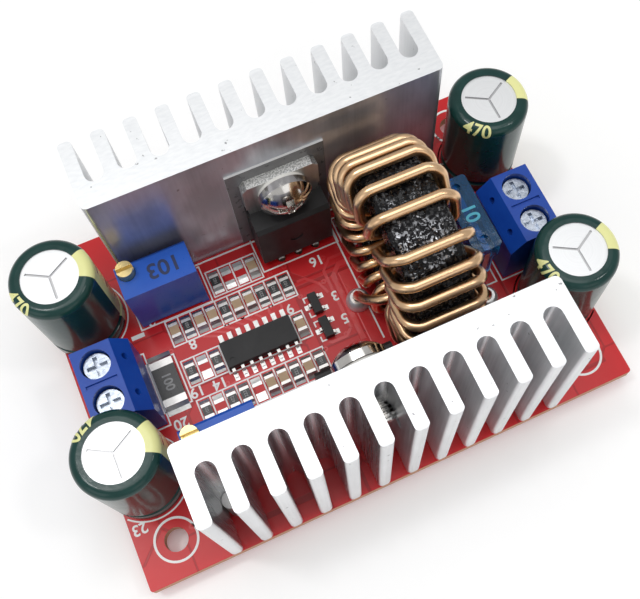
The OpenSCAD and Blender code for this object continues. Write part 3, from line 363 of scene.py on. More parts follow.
# Legend: white epoxy ink screened on the mask: a cell round every chip, rings round the mounting holes,
# arcs round the cans, outlines of the larger parts and plain running numbers.
ink_height = 0.05
ink_line = 0.2
ink_edges = np.array([-0.5, -0.5, 0.5, 0.5])
ink_levels = np.array([0, 1, 1, 0])[:, None]
corner_signs = np.array([[-1, -1], [1, -1], [1, 1], [-1, 1]])


def ink_frames(name, middles, halves, height):
    """Rectangular outlines: four corners carried round an inner and an outer edge, with a top and a foot."""
    grow = ink_edges[:, None, None] * ink_line
    grids = on_board(middles[:, None, None] + corner_signs * (halves[:, None, None] + grow))
    grids[..., 2] += ink_levels * height
    return woven(name, grids, wrap_rows=True, wrap_columns=True)


def ink_rings(name, middles, radii, line):
    """Round outlines: a circle carried round an inner and an outer edge, with a top and a foot."""
    reach = radii[:, None] + ink_edges * line
    grids = on_board(middles[:, None, None] + reach[:, :, None, None] * circle(72))
    grids[..., 2] += ink_levels * ink_height
    return woven(name, grids, wrap_rows=True, wrap_columns=True)


def ink_bars(name, middles, halves):
    """Filled rectangles: four corners, drawn in to a middle point above and below."""
    share = np.array([0, 1, 1, 0])[:, None, None]
    grids = on_board(middles[:, None, None] + share * corner_signs * halves[:, None, None])
    grids[..., 2] += np.array([0, 0, 1, 1])[:, None] * ink_height
    return woven(name, grids, wrap_columns=True)


def plan_box(name, margin):
    """Middle and half size, in plan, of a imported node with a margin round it."""
    low, high = box_corners(name)
    return (low[:2] + high[:2]) / 2, (high[:2] - low[:2]) / 2 + margin


legend_ink = mottled(
    "legend_ink", 5.0, (0.86, 0.84, 0.83, 1), (0.97, 0.96, 0.95, 1), (0.55, 0.2))
row_middles = np.array([row_cells(name).mean(axis=0) for name in row_places])
row_halves = np.array([[len(row_cells(name)) * cell_pitch / 2, cell_half_height] for name in row_places])
legend = [ink_frames("legend_rows", row_middles, row_halves, ink_height)]
cell_sides = np.concatenate([row_cells(name)[1:] - [cell_pitch / 2, 0] for name in row_places])
side_halves = np.tile([ink_line / 2, cell_half_height - ink_line / 2], (len(cell_sides), 1))
legend.append(ink_bars("legend_cells", cell_sides, side_halves))
outlined = [
    ("rear_trimmer_housing", 0.35), ("front_trimmer_housing", 0.35), ("controller_body", 0.15),
    ("shunt_end_caps", 0.35), ("fuse_body", 0.5), ("input_terminal_housing", 0.3),
    ("output_terminal_housing", 0.3), ("output_diode_body", 0.5), ("switch_transistor_body", 0.5),
]
outlines = [plan_box(name, margin) for name, margin in outlined]
frame_middles = np.array([middle for middle, half in outlines])
frame_halves = np.array([half for middle, half in outlines])
legend.append(ink_frames("legend_frames", frame_middles, frame_halves, 1.1 * ink_height))

can_places = np.array([plan_box(f"capacitor_can_{number}", 0)[0] for number in range(1, 5)])
hole_places = np.array([28.5, 19.3]) * [[-1, -1], [1, -1], [-1, 1], [1, 1]]
hole_ring = 2.7
hole_ring_line = 0.3
legend.append(ink_rings("legend_hole_rings", hole_places, np.full(4, hole_ring), hole_ring_line))
can_ring = 5.5
ink_margin = 0.3
cut_angle = math.acos((board_high[0] - ink_margin - abs(can_places[0, 0])) / can_ring)
arc = np.linspace(cut_angle, 2 * math.pi - cut_angle, 64)
arc_xy = can_ring * np.column_stack([np.cos(arc), np.sin(arc)])
outward = np.where(can_places[:, :1] > 0, 1.0, -1.0)[:, None] * [1.0, 0.0] + [0.0, 1.0]
can_arcs = on_board(can_places[:, None] + arc_xy * outward)
ink_profile = np.array([[-0.5, 0.0], [0.5, 0.0], [0.5, 1.0], [-0.5, 1.0]]) * [ink_line, ink_height]
arc_sides = can_arcs - np.concatenate([can_places, np.full((4, 1), board_top)], axis=1)[:, None]
legend.append(woven("legend_can_arcs", swept(can_arcs, arc_sides, ink_profile), wrap_columns=True))
coil_middle = plan_box("inductor_core", 0)[0]
# Each bar: the x and y of its middle, then half its length along x and along y.
bars = np.array([
    [coil_middle[0] - 5.6, 3.2, 0.12, 9.4],
    [0.5, 14.2, 24.0, 0.12],
    [-0.2, -14.2, 24.0, 0.12],
    [-23.9, 7.7, 0.9, 0.3],
    [22.2, -23.2, 0.12, 0.6],
    [-30.9, 6.6, 0.8, 0.14],
    [30.9, 6.6, 0.8, 0.14],
    [-30.9, -6.6, 0.8, 0.14],
    [30.9, -6.6, 0.8, 0.14],
    [-30.9, -6.6, 0.14, 0.8],
    [30.9, -6.6, 0.14, 0.8],
])
legend.append(ink_bars("legend_bars", bars[:, :2], bars[:, 2:]))
small_low, small_high = box_corners("small_transistor_bodies")
small_x = (small_low[0] + small_high[0]) / 2
small_half_length = 1.45
# Beside each end of a small transistor: one bar along x and one along y, which meet in a corner.
corner_bars = np.array([
    [small_x - shift, y + end * reach, half_x, half_y]
    for y in (small_low[1] + small_half_length, small_high[1] - small_half_length)
    for end in (-1, 1)
    for shift, reach, half_x, half_y in ((0.9, 1.45, 0.4, 0.1), (1.2, 1.05, 0.1, 0.3))
])
legend.append(ink_bars("legend_corners", corner_bars[:, :2], corner_bars[:, 2:]))
for piece in legend:
    fit(piece, legend_ink)


def figures(name, text, size):
    """Plain figures as a thin mesh of one given height, centred on the origin and read along X."""
    curve = bpy.data.curves.new(name, "FONT")
    curve.body = text
    curve.size = size / 1000
    curve.align_x = "CENTER"
    curve.align_y = "CENTER"
    curve.extrude = 0.00001
    curve.offset = 0.02 * curve.size
    written = bpy.data.objects.new(name + "_curve", curve)
    mesh = bpy.data.meshes.new_from_object(written)
    mesh.name = name
    bpy.data.objects.remove(written)
    bpy.data.curves.remove(curve)
    return mesh


def flat_number(name, text, size, at, angle):
    """Figures laid level at a point and turned about the upright."""
    mesh = figures(name, text, size)
    mesh.transform(Matrix.Translation(Vector(at) / 1000) @ Matrix.Rotation(angle, 4, "Z"))
    return closed_piece(name, mesh)


running_numbers = [
    ("2", -21.6, 9.0), ("8", -17.6, 3.7), ("19", -19.4, -2.7), ("14", -16.3, -2.9), ("20", -22.8, -5.8),
    ("9", -3.9, 2.9), ("3", 2.4, 2.1), ("5", 2.3, -1.45), ("16", 2.2, 7.9), ("7", 8.4, 8.6),
    ("23", -32.2, -16.2),
]
running_height = 2.0
for order, (text, x, y) in enumerate(running_numbers):
    at = (x, y, board_top + ink_height)
    number = flat_number(f"legend_number_{order}", text, running_height, at, math.pi)
    fit(number, legend_ink)


# Solder: tin alloy, melted round each lead from below and drawn up the ends of the chips on top.
# It sets bright and slightly lumpy; the pads are printed paste, reflowed.
bright_solder, shader, place = start_finish("bright_solder")
lumps = grain(place, 1.6)
frost = grain(place, 9.0)
set_shader(shader, {
    "Base Color": between(lumps, (0.46, 0.46, 0.45, 1), (0.70, 0.70, 0.69, 1)),
    "Roughness": 0.26 + 0.24 * frost,
    "Normal": dented(lumps, 0.35, 0.08),
    "Metallic": 1.0,
})
dress(bright_solder, "solder_pads", "solder_joints")

bead_solder = mottled(
    "bead_solder", 0.9, (0.62, 0.63, 0.63, 1), (0.86, 0.87, 0.87, 1), (0.26, 0.20),
    dent=(0.5, 0.14), constants={"Metallic": 0.6})
dress(bead_solder, "inductor_solder")


# Heatsinks: aluminium extrusion, sawn to length, so the fins keep fine upright die lines and the sawn tops
# are paler, with short cross scratches. The faces that carry the devices are smooth and dull. The fin flanks
# are painted pale, a painted reflection of the bright surround: the rear one's all along, the front one's
# only towards the output end; the fins' outer ends are painted pale too, a painted highlight.
rear_sink_low, rear_sink_high = box_corners("rear_heatsink")
face_y = rear_sink_low[1]
fin_end_y = rear_sink_high[1]
for side, flank_reflection_share, flank_reflection_x in (("front", 0.45, -8.0), ("rear", 0.8, -60.0)):
    sink_metal, shader, place = start_finish(f"{side}_sink_metal")
    top = ramp(axis(surface_normal(place), "Z"), 0.5, 0.8)
    die_lines = grain(place, 2.4, (1.0, 1.0, 0.025), 5.0)
    stains = grain(place, 0.22, (1.0, 1.0, 0.45), 4.0)
    saw_lines = grain(place, 2.6, (0.35, 1.0, 1.0), 4.0)
    nicks = ramp(grain(place, 1.1, detail=5.0), 0.69, 0.74)
    depth = abs(axis(place, "Y"))
    device_face = 1 - ramp(depth, face_y + 0.02, face_y + 0.12)
    fin_end = ramp(depth, fin_end_y - 0.5, fin_end_y - 0.1)
    flank = ramp(abs(axis(surface_normal(place), "X")), 0.5, 0.9)
    # Painted reflection: the flanks, and the fins' outer ends, are coloured pale and made less metallic.
    painted_flank_reflection = flank_reflection_share * ramp(axis(place, "X"), flank_reflection_x, flank_reflection_x + 20) * flank
    pale = fin_end.math("MAXIMUM", 0.6 * fin_end, painted_flank_reflection)
    streaks = ramp(0.55 * stains + 0.45 * die_lines, 0.30, 0.70)
    blotches = ramp(0.8 * stains + 0.2 * die_lines, 0.30, 0.70)
    fin_metal = between(streaks, (0.44, 0.45, 0.47, 1), (0.80, 0.81, 0.83, 1))
    fin_metal = between(pale, fin_metal, (0.88, 0.89, 0.90, 1))
    face_metal = between(blotches, (0.36, 0.37, 0.41, 1), (0.60, 0.61, 0.66, 1))
    sawn_metal = between(saw_lines, (0.74, 0.76, 0.78, 1), (0.93, 0.94, 0.95, 1))
    bare = between(top, between(device_face, fin_metal, face_metal), sawn_metal)
    ridges = die_lines * (1 - top) * (1 - 0.85 * device_face) + 0.6 * saw_lines * top + 0.5 * nicks
    set_shader(shader, {
        "Base Color": between(nicks, bare, (0.30, 0.30, 0.31, 1)),
        "Metallic": 0.96 - 0.02 * top - 0.26 * device_face - 0.6 * pale,
        "Roughness": 0.20 + 0.12 * die_lines + 0.20 * top + 0.05 * device_face + 0.24 * pale,
        "Normal": dented(ridges, 0.18, 0.03),
    })
    dress(sink_metal, f"{side}_heatsink")


# Tinned leads and pins: copper wire and strip with a dull tin plating, cut off short under the board.
tinned_copper = mottled(
    "tinned_copper", 4.0, (0.46, 0.45, 0.44, 1), (0.70, 0.69, 0.67, 1), (0.30, 0.22),
    dent=(0.3, 0.03), constants={"Metallic": 1.0})
dress(tinned_copper, "heatsink_pins", "capacitor_leads", "terminal_contacts", "trimmer_pins")
dress(tinned_copper, "controller_leads", "small_transistor_leads", "chip_end_caps", "shunt_end_caps")


# Insulating sheets: grey filled silicone rubber, pressed between each power device and its heatsink.
# The edges are painted paler than the faces, a painted highlight where they catch the lamps.
pad_rubber, shader, place = start_finish("pad_rubber")
mottle = grain(place, 0.7)
# Painted highlight: the faces that do not point along Y, the sheet's edges, are coloured pale.
painted_edge_highlight = 1 - ramp(abs(axis(surface_normal(place), "Y")), 0.3, 0.7)
sheet_face = between(mottle, (0.10, 0.10, 0.105, 1), (0.20, 0.20, 0.205, 1))
set_shader(shader, {
    "Base Color": between(painted_edge_highlight, sheet_face, (0.72, 0.72, 0.71, 1)),
    "Roughness": 0.20 + 0.2 * mottle,
    "Normal": dented(grain(place, 3.0), 0.3, 0.03),
})
dress(pad_rubber, "front_insulator", "rear_insulator")


# Insulating bushes: turned white nylon, one under each device screw.
white_nylon = mottled(
    "white_nylon", 1.2, (0.72, 0.71, 0.66, 1), (0.84, 0.83, 0.80, 1), (0.42, 0.1))
dress(white_nylon, "insulating_bushes")


# Device screws: dome-headed steel, nickel plated and polished, with a cross recess.
polished_nickel = mottled(
    "polished_nickel", 1.4, (0.62, 0.60, 0.57, 1), (0.80, 0.78, 0.75, 1), (0.09, 0.10),
    dent=(0.15, 0.03), stretch=(1.0, 1.0, 0.5), constants={"Metallic": 1.0})

# Each screw is a section turned about its axis. Beyond the heatsink's face the radius falls and rises with
# a wave that moves on by one pitch a turn, which cuts the thread, and the dome sinks into a cross recess.
shank_radius = 1.5
head_radius = 3.45
head_rim = 1.1
head_height = 2.8
head_seat = 1.8
thread_pitch = 0.5
thread_depth = 0.30
recess_half_width = 0.45
recess_half_length = 1.6
recess_depth = 1.2
bush_low, bush_high = box_corners("insulating_bushes")
screw_z = (bush_low[2] + bush_high[2]) / 2
tip_y = box_corners("device_screws")[1][1]
tab_back_y = box_corners("rear_insulator")[0][1]
tip_out = tab_back_y - tip_y
dome_height = head_height - head_rim
dome_radius = (head_radius ** 2 + dome_height ** 2) / (2 * dome_height)
dome_turn = np.linspace(math.asin(head_radius / dome_radius), 0, 64)
dome_r = dome_radius * np.sin(dome_turn)
dome_out = head_seat + head_height - dome_radius + dome_radius * np.cos(dome_turn)
thread_length = 5.0
rim_bevel = 0.08
thread_out = np.linspace(tip_out, tip_out + thread_length, 120)
thread_r = np.minimum(shank_radius, shank_radius - 0.5 + 1.2 * (thread_out - tip_out))
shank_out = np.array([tip_out + thread_length + 0.05, head_seat])
rim_out = np.array([head_seat, head_seat + rim_bevel, head_seat + head_rim - rim_bevel])
rim_r = np.array([head_radius - rim_bevel, head_radius, head_radius])
screw_out = np.concatenate([[tip_out], thread_out, shank_out, rim_out, dome_out])
screw_r = np.concatenate([[0.0], thread_r, np.full(2, shank_radius), rim_r, dome_r])
threaded = np.concatenate([[0.0], np.ones(len(thread_out)), np.zeros(5 + len(dome_out))])
domed = np.concatenate([np.zeros(len(thread_out) + 6), np.ones(len(dome_out))])
screw_turn = np.linspace(0, 2 * np.pi, 144, endpoint=False)
wave = np.abs(2 * ((screw_out[:, None] / thread_pitch + screw_turn / (2 * np.pi)) % 1.0) - 1)
groove = np.clip(1.25 * wave - 0.1, 0, 1)
turned_r = screw_r[:, None] - thread_depth * threaded[:, None] * groove
screw_across = turned_r * np.cos(screw_turn)
screw_up = turned_r * np.sin(screw_turn)


def step_down(distance, edge):
    """1 well inside an edge and 0 well outside it, with a straight slope a tenth of a millimetre wide."""
    return np.clip((edge + 0.05 - np.abs(distance)) / 0.1, 0, 1)


bar = step_down(screw_across, recess_half_width) * step_down(screw_up, recess_half_length)
post = step_down(screw_up, recess_half_width) * step_down(screw_across, recess_half_length)
floor_out = head_seat + head_height - recess_depth
sunk = domed[:, None] * np.maximum(bar, post)
turned_out = screw_out[:, None] * (1 - sunk) + floor_out * sunk
sink_x = [plan_box(f"{side}_heatsink", 0)[0][0] for side in ("front", "rear")]
screw_grids = np.stack([
    np.stack([x + screw_across, side * (tab_back_y - turned_out), screw_z + screw_up], axis=-1)
    for x, side in zip(sink_x, (-1, 1))
])
screws = woven("threaded_screws", screw_grids, wrap_columns=True)
fit(screws, polished_nickel)
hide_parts("device_screws")


# Transistor, diode and chip bodies: black epoxy moulded round the lead frame, matt from the mould.
moulded_epoxy, shader, place = start_finish("moulded_epoxy")
pits = grain(place, 8.0, detail=2.0)
bloom = grain(place, 0.5)
set_shader(shader, {
    "Base Color": between(bloom, (0.012, 0.012, 0.013, 1), (0.030, 0.029, 0.030, 1)),
    "Roughness": 0.36 + 0.18 * pits,
    "Normal": dented(pits, 0.35, 0.02),
    "Specular IOR Level": 0.28,
})
dress(moulded_epoxy, "switch_transistor_body", "output_diode_body")
dress(moulded_epoxy, "controller_body", "small_transistor_bodies")


# Device tabs and leads: stamped copper strip, tin plated, with fine rolling lines along it. Faces that point
# up, such as the tab's top edge, are bumped rough and painted in pale flecks, a painted highlight and
# sparkle.
plated_tab, shader, place = start_finish("plated_tab")
rolling = grain(place, 3.0, (1.0, 1.0, 0.05), 4.0)
# Painted highlight: faces that point up get pale flecks in their colour, and a rough bump.
upward_faces = ramp(axis(surface_normal(place), "Z"), 0.5, 0.8)
torn = ramp(grain(place, 4.5, detail=4.0), 0.36, 0.64)
rolled_face = between(rolling, (0.52, 0.52, 0.52, 1), (0.76, 0.76, 0.75, 1))
painted_edge_sparkle = between(torn, (0.48, 0.48, 0.47, 1), (0.92, 0.92, 0.90, 1))
set_shader(shader, {
    "Base Color": between(upward_faces, rolled_face, painted_edge_sparkle),
    "Roughness": 0.36 + 0.2 * rolling,
    "Normal": dented(rolling * (1 - upward_faces) + 2.0 * torn * upward_faces, 0.3, 0.03),
    "Metallic": 1.0,
})
dress(plated_tab, "switch_transistor_frame", "output_diode_frame")


# Capacitors: deep-drawn aluminium cans in a dark green shrink sleeve, which turns in over the top edge.
# A pale stripe with minus signs is printed down the negative side; each top is scored so that it can vent.
sleeve_green = (0.004, 0.030, 0.026, 1)
sleeve_green_lit = (0.010, 0.054, 0.048, 1)
stripe_yellow = (0.80, 0.80, 0.36, 1)
stripe_half_angle = 0.42
minus_half_angle = 0.16
minus_spacing = 4.2
score_depth = 0.10
score_reach = 3.3
for number in range(1, 5):
    low, high = box_corners(f"capacitor_can_{number}")
    middle = (low + high) / 2
    sleeve, shader, place = start_finish(f"printed_sleeve_{number}")
    east = axis(place, "X") - middle[0]
    north = axis(place, "Y") - middle[1]
    angle = abs(east.math("ARCTAN2", north, east))
    stripe = 1 - ramp(angle, stripe_half_angle - 0.01, stripe_half_angle + 0.01)
    step = (axis(place, "Z") / minus_spacing).math("FRACT", axis(place, "Z") / minus_spacing)
    minus = ramp(abs(step - 0.5), 0.08, 0.09)
    minus = 1 - (1 - minus) * (1 - ramp(angle, minus_half_angle - 0.01, minus_half_angle + 0.01))
    film = grain(place, 0.6)
    green = between(film, sleeve_green, sleeve_green_lit)
    set_shader(shader, {
        "Base Color": between(stripe * minus, green, stripe_yellow),
        "Roughness": 0.14 + 0.12 * film,
        "Normal": dented(grain(place, 0.9, (1.0, 1.0, 0.4)), 0.25, 0.10),
        "Specular IOR Level": 0.36,
    })
    dress(sleeve, f"capacitor_sleeve_{number}")

    drawn_can, shader, place = start_finish(f"drawn_can_{number}")
    east = axis(place, "X") - middle[0]
    north = axis(place, "Y") - middle[1]
    radius = (east * east + north * north).math("SQRT", east * east + north * north)
    rings = grain(radius.node("CombineXYZ", {}, {0: radius}), 6.0)
    bright_top = between(rings, (0.70, 0.71, 0.72, 1), (0.86, 0.87, 0.88, 1))
    # Painted shade: the score grooves, below the top inside the scored reach, are coloured darker.
    below_top = 1 - ramp(axis(place, "Z"), high[2] - score_depth, high[2] - 0.4 * score_depth)
    painted_groove_shade = below_top * (1 - ramp(radius, score_reach, score_reach + 0.2))
    set_shader(shader, {
        "Base Color": between(painted_groove_shade, bright_top, (0.48, 0.48, 0.49, 1)),
        "Roughness": 0.34 + 0.16 * rings,
        "Normal": dented(rings, 0.2, 0.02),
        "Metallic": 0.92,
    })
    dress(drawn_can, f"capacitor_can_{number}")

# The sleeves' rating figures run over the shoulder: across, they bend round the can, and up, they follow
# the sleeve's section from the flat of the fold, round the shoulder and down the side.
sleeve_ink = mottled("sleeve_ink", 3.0, (0.66, 0.66, 0.24, 1), (0.84, 0.84, 0.42, 1), (0.3, 0.2))
rating_height = 2.6
shoulder_radius = 1.07
ink_lift = 0.03
bend = np.linspace(0, np.pi / 2, 12)
for number, heading in ((1, 200), (2, 120), (3, 225), (4, 190)):
    low, high = box_corners(f"capacitor_sleeve_{number}")
    middle = (low + high) / 2
    reach = (high[0] - low[0]) / 2
    shoulder_r = reach - shoulder_radius + shoulder_radius * np.sin(bend)
    shoulder_z = high[2] - shoulder_radius + shoulder_radius * np.cos(bend)
    section_r = np.concatenate([[0], shoulder_r, [reach]])
    section_z = np.concatenate([[high[2]], shoulder_z, [low[2]]])
    section_run = np.concatenate([[0], np.cumsum(np.hypot(np.diff(section_r), np.diff(section_z)))])
    mesh = figures(f"sleeve_number_{number}", "470", rating_height)
    shell = bmesh.new()
    shell.from_mesh(mesh)
    bmesh.ops.triangulate(shell, faces=shell.faces)
    bmesh.ops.subdivide_edges(shell, edges=shell.edges, cuts=4, use_grid_fill=True)
    shell.to_mesh(mesh)
    shell.free()
    level = np.empty(len(mesh.vertices) * 3)
    mesh.vertices.foreach_get("co", level)
    across, upward, thick = level.reshape(-1, 3).T * 1000
    run = reach - 0.1 - upward
    bent_r = np.interp(run, section_run, section_r) + ink_lift
    bent_z = np.interp(run, section_run, section_z) + ink_lift + thick
    angle = math.radians(heading) + across / reach
    bent = np.column_stack([middle[0] + bent_r * np.cos(angle), middle[1] + bent_r * np.sin(angle), bent_z])
    mesh.vertices.foreach_set("co", (bent / 1000).ravel())
    fit(closed_piece(f"sleeve_number_{number}", mesh), sleeve_ink)

bung_rubber = mottled(
    "bung_rubber", 2.0, (0.012, 0.012, 0.012, 1), (0.05, 0.05, 0.05, 1), (0.6, 0.2))
dress(bung_rubber, "capacitor_bungs")


# Screw terminals: blue moulded nylon housings; nickel-plated steel screws and rising clamps inside.
terminal_nylon, shader, place = start_finish("terminal_nylon")
flow = grain(place, 0.35)
peel = grain(place, 5.0, detail=2.0)
set_shader(shader, {
    "Base Color": between(flow, (0.006, 0.046, 0.32, 1), (0.012, 0.080, 0.44, 1)),
    "Roughness": 0.26 + 0.12 * peel,
    "Normal": dented(peel, 0.25, 0.02),
    "Specular IOR Level": 0.35,
})
dress(terminal_nylon, "input_terminal_housing", "output_terminal_housing")

# The steel's blue-grey mottle is a painted reflection of the blue nylon housing round it.
plated_steel = mottled(
    "plated_steel", 2.2, (0.22, 0.26, 0.33, 1), (0.62, 0.66, 0.73, 1), (0.16, 0.24),
    dent=(0.30, 0.05), constants={"Metallic": 1.0})
for end in ("input", "output"):
    for pole in (1, 2):
        dress(plated_steel, f"{end}_screw_{pole}", f"{end}_clamp_{pole}")


# Trimmers: sealed boxes of bright blue plastic with a slotted brass adjusting screw.
trimmer_plastic, shader, place = start_finish("trimmer_plastic")
flow = grain(place, 0.4)
peel = grain(place, 4.0, detail=2.0)
set_shader(shader, {
    "Base Color": between(flow, (0.012, 0.080, 0.44, 1), (0.020, 0.115, 0.54, 1)),
    "Roughness": 0.24 + 0.12 * peel,
    "Normal": dented(peel, 0.25, 0.02),
    "Specular IOR Level": 0.35,
})
dress(trimmer_plastic, "rear_trimmer_housing", "front_trimmer_housing")


def top_middle(name):
    """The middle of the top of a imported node, raised by a hundredth of a millimetre for ink."""
    low, high = box_corners(name)
    return np.array([(low[0] + high[0]) / 2, (low[1] + high[1]) / 2, high[2] + 0.01])


stamp_ink = mottled("stamp_ink", 3.0, (0.006, 0.012, 0.050, 1), (0.012, 0.028, 0.110, 1), (0.4, 0.2))
stamp_height = 3.0
past_screw = np.array([1.2, 0, 0])
for side in ("rear", "front"):
    at = top_middle(f"{side}_trimmer_housing") + past_screw
    fit(flat_number(f"{side}_trimmer_number", "103", stamp_height, at, math.pi), stamp_ink)

turned_brass = mottled(
    "turned_brass", 3.0, (0.64, 0.47, 0.17, 1), (0.86, 0.71, 0.38, 1), (0.20, 0.18),
    dent=(0.3, 0.03), stretch=(0.2, 0.2, 4.0), constants={"Metallic": 1.0})
dress(turned_brass, "rear_trimmer_screw", "front_trimmer_screw")


# Inductor: pressed iron-powder ring wrapped in glossy black tape, wound with one thick enamelled wire.
# The tape's pale crease lines are painted glints, strongest where the tape faces up and to the front, towards
# the lamps.
def facets(place, scale, stretch):
    """Small flat cells, each with three random numbers from 0 to 1 of its own, drawn out by the stretch."""
    drawn = place.node("VectorMath", {"operation": "MULTIPLY"}, {0: place, 1: stretch})
    return place.node("TexVoronoi", {}, {"Vector": drawn, "Scale": scale}, "Color")


def tilted(normal, facet, slope):
    """A normal that leans by up to half the slope along each axis, as a facet's three numbers say."""
    lean = facet.node(
        "VectorMath", {"operation": "MULTIPLY_ADD"}, {0: facet, 1: (slope,) * 3, 2: (-slope / 2,) * 3})
    sum_of_both = facet.node("VectorMath", {"operation": "ADD"}, {0: normal, 1: lean})
    return facet.node("VectorMath", {"operation": "NORMALIZE"}, {0: sum_of_both})


def crease_lines(place, scale, stretch):
    """Thin wandering lines, 1 where stretched noise passes through its middle value and 0 away from there."""
    return 1 - ramp(abs(grain(place, scale, stretch, 2.0) - 0.5), 0.015, 0.045)


wrapped_tape, shader, place = start_finish("wrapped_tape")
large_facets = facets(place, 1.4, (1.0, 0.7, 0.7))
small_facets = facets(place, 4.2, (1.0, 0.7, 0.7))
fine = grain(place, 3.2, detail=3.0)
long_lines = crease_lines(place, 1.0, (1.0, 0.6, 0.6))
short_lines = crease_lines(place, 1.7, (0.7, 1.2, 1.2))
broken = ramp(grain(place, 2.2, detail=1.0), 0.47, 0.57) * ramp(grain(place, 0.30), 0.40, 0.56)
# Painted glints: pale, partly metallic crease lines, mostly on faces turned up and to the front, towards the
# lamps.
faced_up = 0.95 * axis(surface_normal(place), "Z") - 0.31 * axis(surface_normal(place), "Y")
lamp_facing_share = ramp(faced_up, 0.90, 0.985)
painted_crease_glints = long_lines.math("MAXIMUM", long_lines, short_lines) * broken * (0.10 + 0.90 * lamp_facing_share)
black_film = between(fine, (0.002, 0.002, 0.003, 1), (0.006, 0.006, 0.007, 1))
set_shader(shader, {
    "Base Color": between(painted_crease_glints, black_film, (0.46, 0.47, 0.50, 1)),
    "Metallic": 0.6 * painted_crease_glints,
    "Roughness": 0.10 + 0.14 * fine,
    "Normal": tilted(tilted(surface_normal(place), large_facets, 0.35), small_facets, 0.6),
    "Specular IOR Level": 0.22,
})

core_low, core_high = box_corners("inductor_core")
core_middle = (core_low + core_high) / 2
core_half_width = (core_high[0] - core_low[0]) / 2
core_outer = (core_high[1] - core_low[1]) / 2
core_inner = 7.05
core_chamfer = 0.45


def ring_points(x, reach, angle):
    """Points of the coil: x along its axis, reach out from the axis, and angle from the top to the rear."""
    return np.stack([
        core_middle[0] + x + 0 * angle,
        core_middle[1] + reach * np.sin(angle),
        core_middle[2] + reach * np.cos(angle),
    ], axis=-1)


# The tape's skin: an eight-cornered section carried round the ring. Its height over the core is a saw wave
# for the lapped turns of tape, plus the size of a sum of nine crossing waves, whose zeros make the creases.
ring_middle = (core_outer + core_inner) / 2
half_span = (core_outer - core_inner) / 2
core_x = np.array([1, 1, 1, -1, -1, -1, -1, 1, 1]) * core_half_width
core_x = core_x - np.array([0, 0, 1, -1, 0, 0, -1, 1, 0]) * core_chamfer
core_r = np.array([-1, 1, 1, 1, 1, -1, -1, -1, -1]) * half_span
core_r = core_r + np.array([1, -1, 0, 0, -1, 1, 0, 0, 1]) * core_chamfer
core_run = np.concatenate([[0], np.cumsum(np.hypot(np.diff(core_x), np.diff(core_r)))])
skin_run = np.linspace(0, core_run[-1], 96, endpoint=False)
skin_x = np.interp(skin_run, core_run, core_x)
skin_r = np.interp(skin_run, core_run, core_r)
ring_angle = np.linspace(0, 2 * np.pi, 720, endpoint=False)[:, None]
tape_turns = 22
laps = (ring_angle * tape_turns / (2 * np.pi) + 0.06 * skin_run) % 1.0
draw = np.random.default_rng(11)
waves_round = draw.integers(30, 130, 9)
waves_across = draw.integers(-22, 23, 9)
wave_start = draw.uniform(0, 2 * np.pi, 9)
section_turn = skin_run / core_run[-1] * 2 * np.pi
waves = np.sin(waves_round * ring_angle[..., None] + waves_across * section_turn[:, None] + wave_start)
creases = np.clip(np.abs(waves.sum(-1)) / 4, 0, 1.4)
lift = 0.01 + 0.05 * laps + 0.05 * creases
out_x = (skin_x / core_half_width) ** 9
out_r = (skin_r / half_span) ** 9
out_length = np.hypot(out_x, out_r)
tape_x = skin_x + lift * out_x / out_length
tape_r = ring_middle + skin_r + lift * out_r / out_length
tape_grid = ring_points(tape_x, tape_r, ring_angle + 0 * skin_run)
tape = woven("core_tape", tape_grid[None], wrap_rows=True, wrap_columns=True)
tape.data.shade_smooth()
fit(tape, wrapped_tape)
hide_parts("inductor_core")

enamelled_copper, shader, place = start_finish("enamelled_copper")
heat = grain(place, 0.3)
rub = grain(place, 2.6)
enamel = ramp(axis(place, "Z") + 0.8 * rub, 3.2, 3.8)
copper = between(heat, (0.72, 0.44, 0.24, 1), (0.90, 0.63, 0.38, 1))
set_shader(shader, {
    "Base Color": between(enamel, (0.56, 0.55, 0.53, 1), copper),
    "Roughness": 0.24 + 0.10 * rub,
    "Normal": dented(rub, 0.08, 0.01),
    "Metallic": 1.0,
    "Coat Weight": 0.35,
})

# The wire: each turn is four quarter bends, from the eye of the ring over the left side, the rim and the
# right side back to the eye, one place further on, and each end is led down to its bead on the board.
wire_radius = 0.65
wire_clearance = 0.15
eye_reach = core_inner - wire_clearance - wire_radius
rim_reach = core_outer + wire_clearance + wire_radius
close_corner = 0.5 + wire_clearance + wire_radius
left_slack = 0.6
right_slack = 0.5
left_edge = core_half_width + wire_clearance + wire_radius + left_slack
right_edge = core_half_width + wire_clearance + wire_radius + right_slack
left_corner = close_corner + 1.2 * left_slack
right_corner = close_corner + 1.2 * right_slack
rim_angles = np.radians([
    193, 167, 152, 137, 121, 104, 84, 64, 48, 38, 28, 12, -6, -30, -46, -58, -74, -92, -110, -128])
eye_angles = np.radians(np.linspace(200, -137, len(rim_angles) + 1))
bend_share = np.linspace(0, 1, 11)


def wire_corner(x, reach, radius, start, lean_from, lean_to):
    """A quarter turn of the wire about (x, reach), while the turn leans from one angle to another."""
    bend = math.radians(start) - bend_share * math.pi / 2
    lean = lean_from[:, None] + (lean_to - lean_from)[:, None] * bend_share
    return ring_points(x + radius * np.cos(bend), reach + radius * np.sin(bend), lean)


def lead_curve(start, start_pull, end_pull, end):
    """A cubic curve from start to end, drawn by a pull at each end."""
    share = np.linspace(0, 1, 28)[:, None]
    powers = np.arange(4)
    weights = np.array([1, 3, 3, 1]) * share ** powers * (1 - share) ** (3 - powers)
    return weights @ np.array([start, start + start_pull, end + end_pull, end])


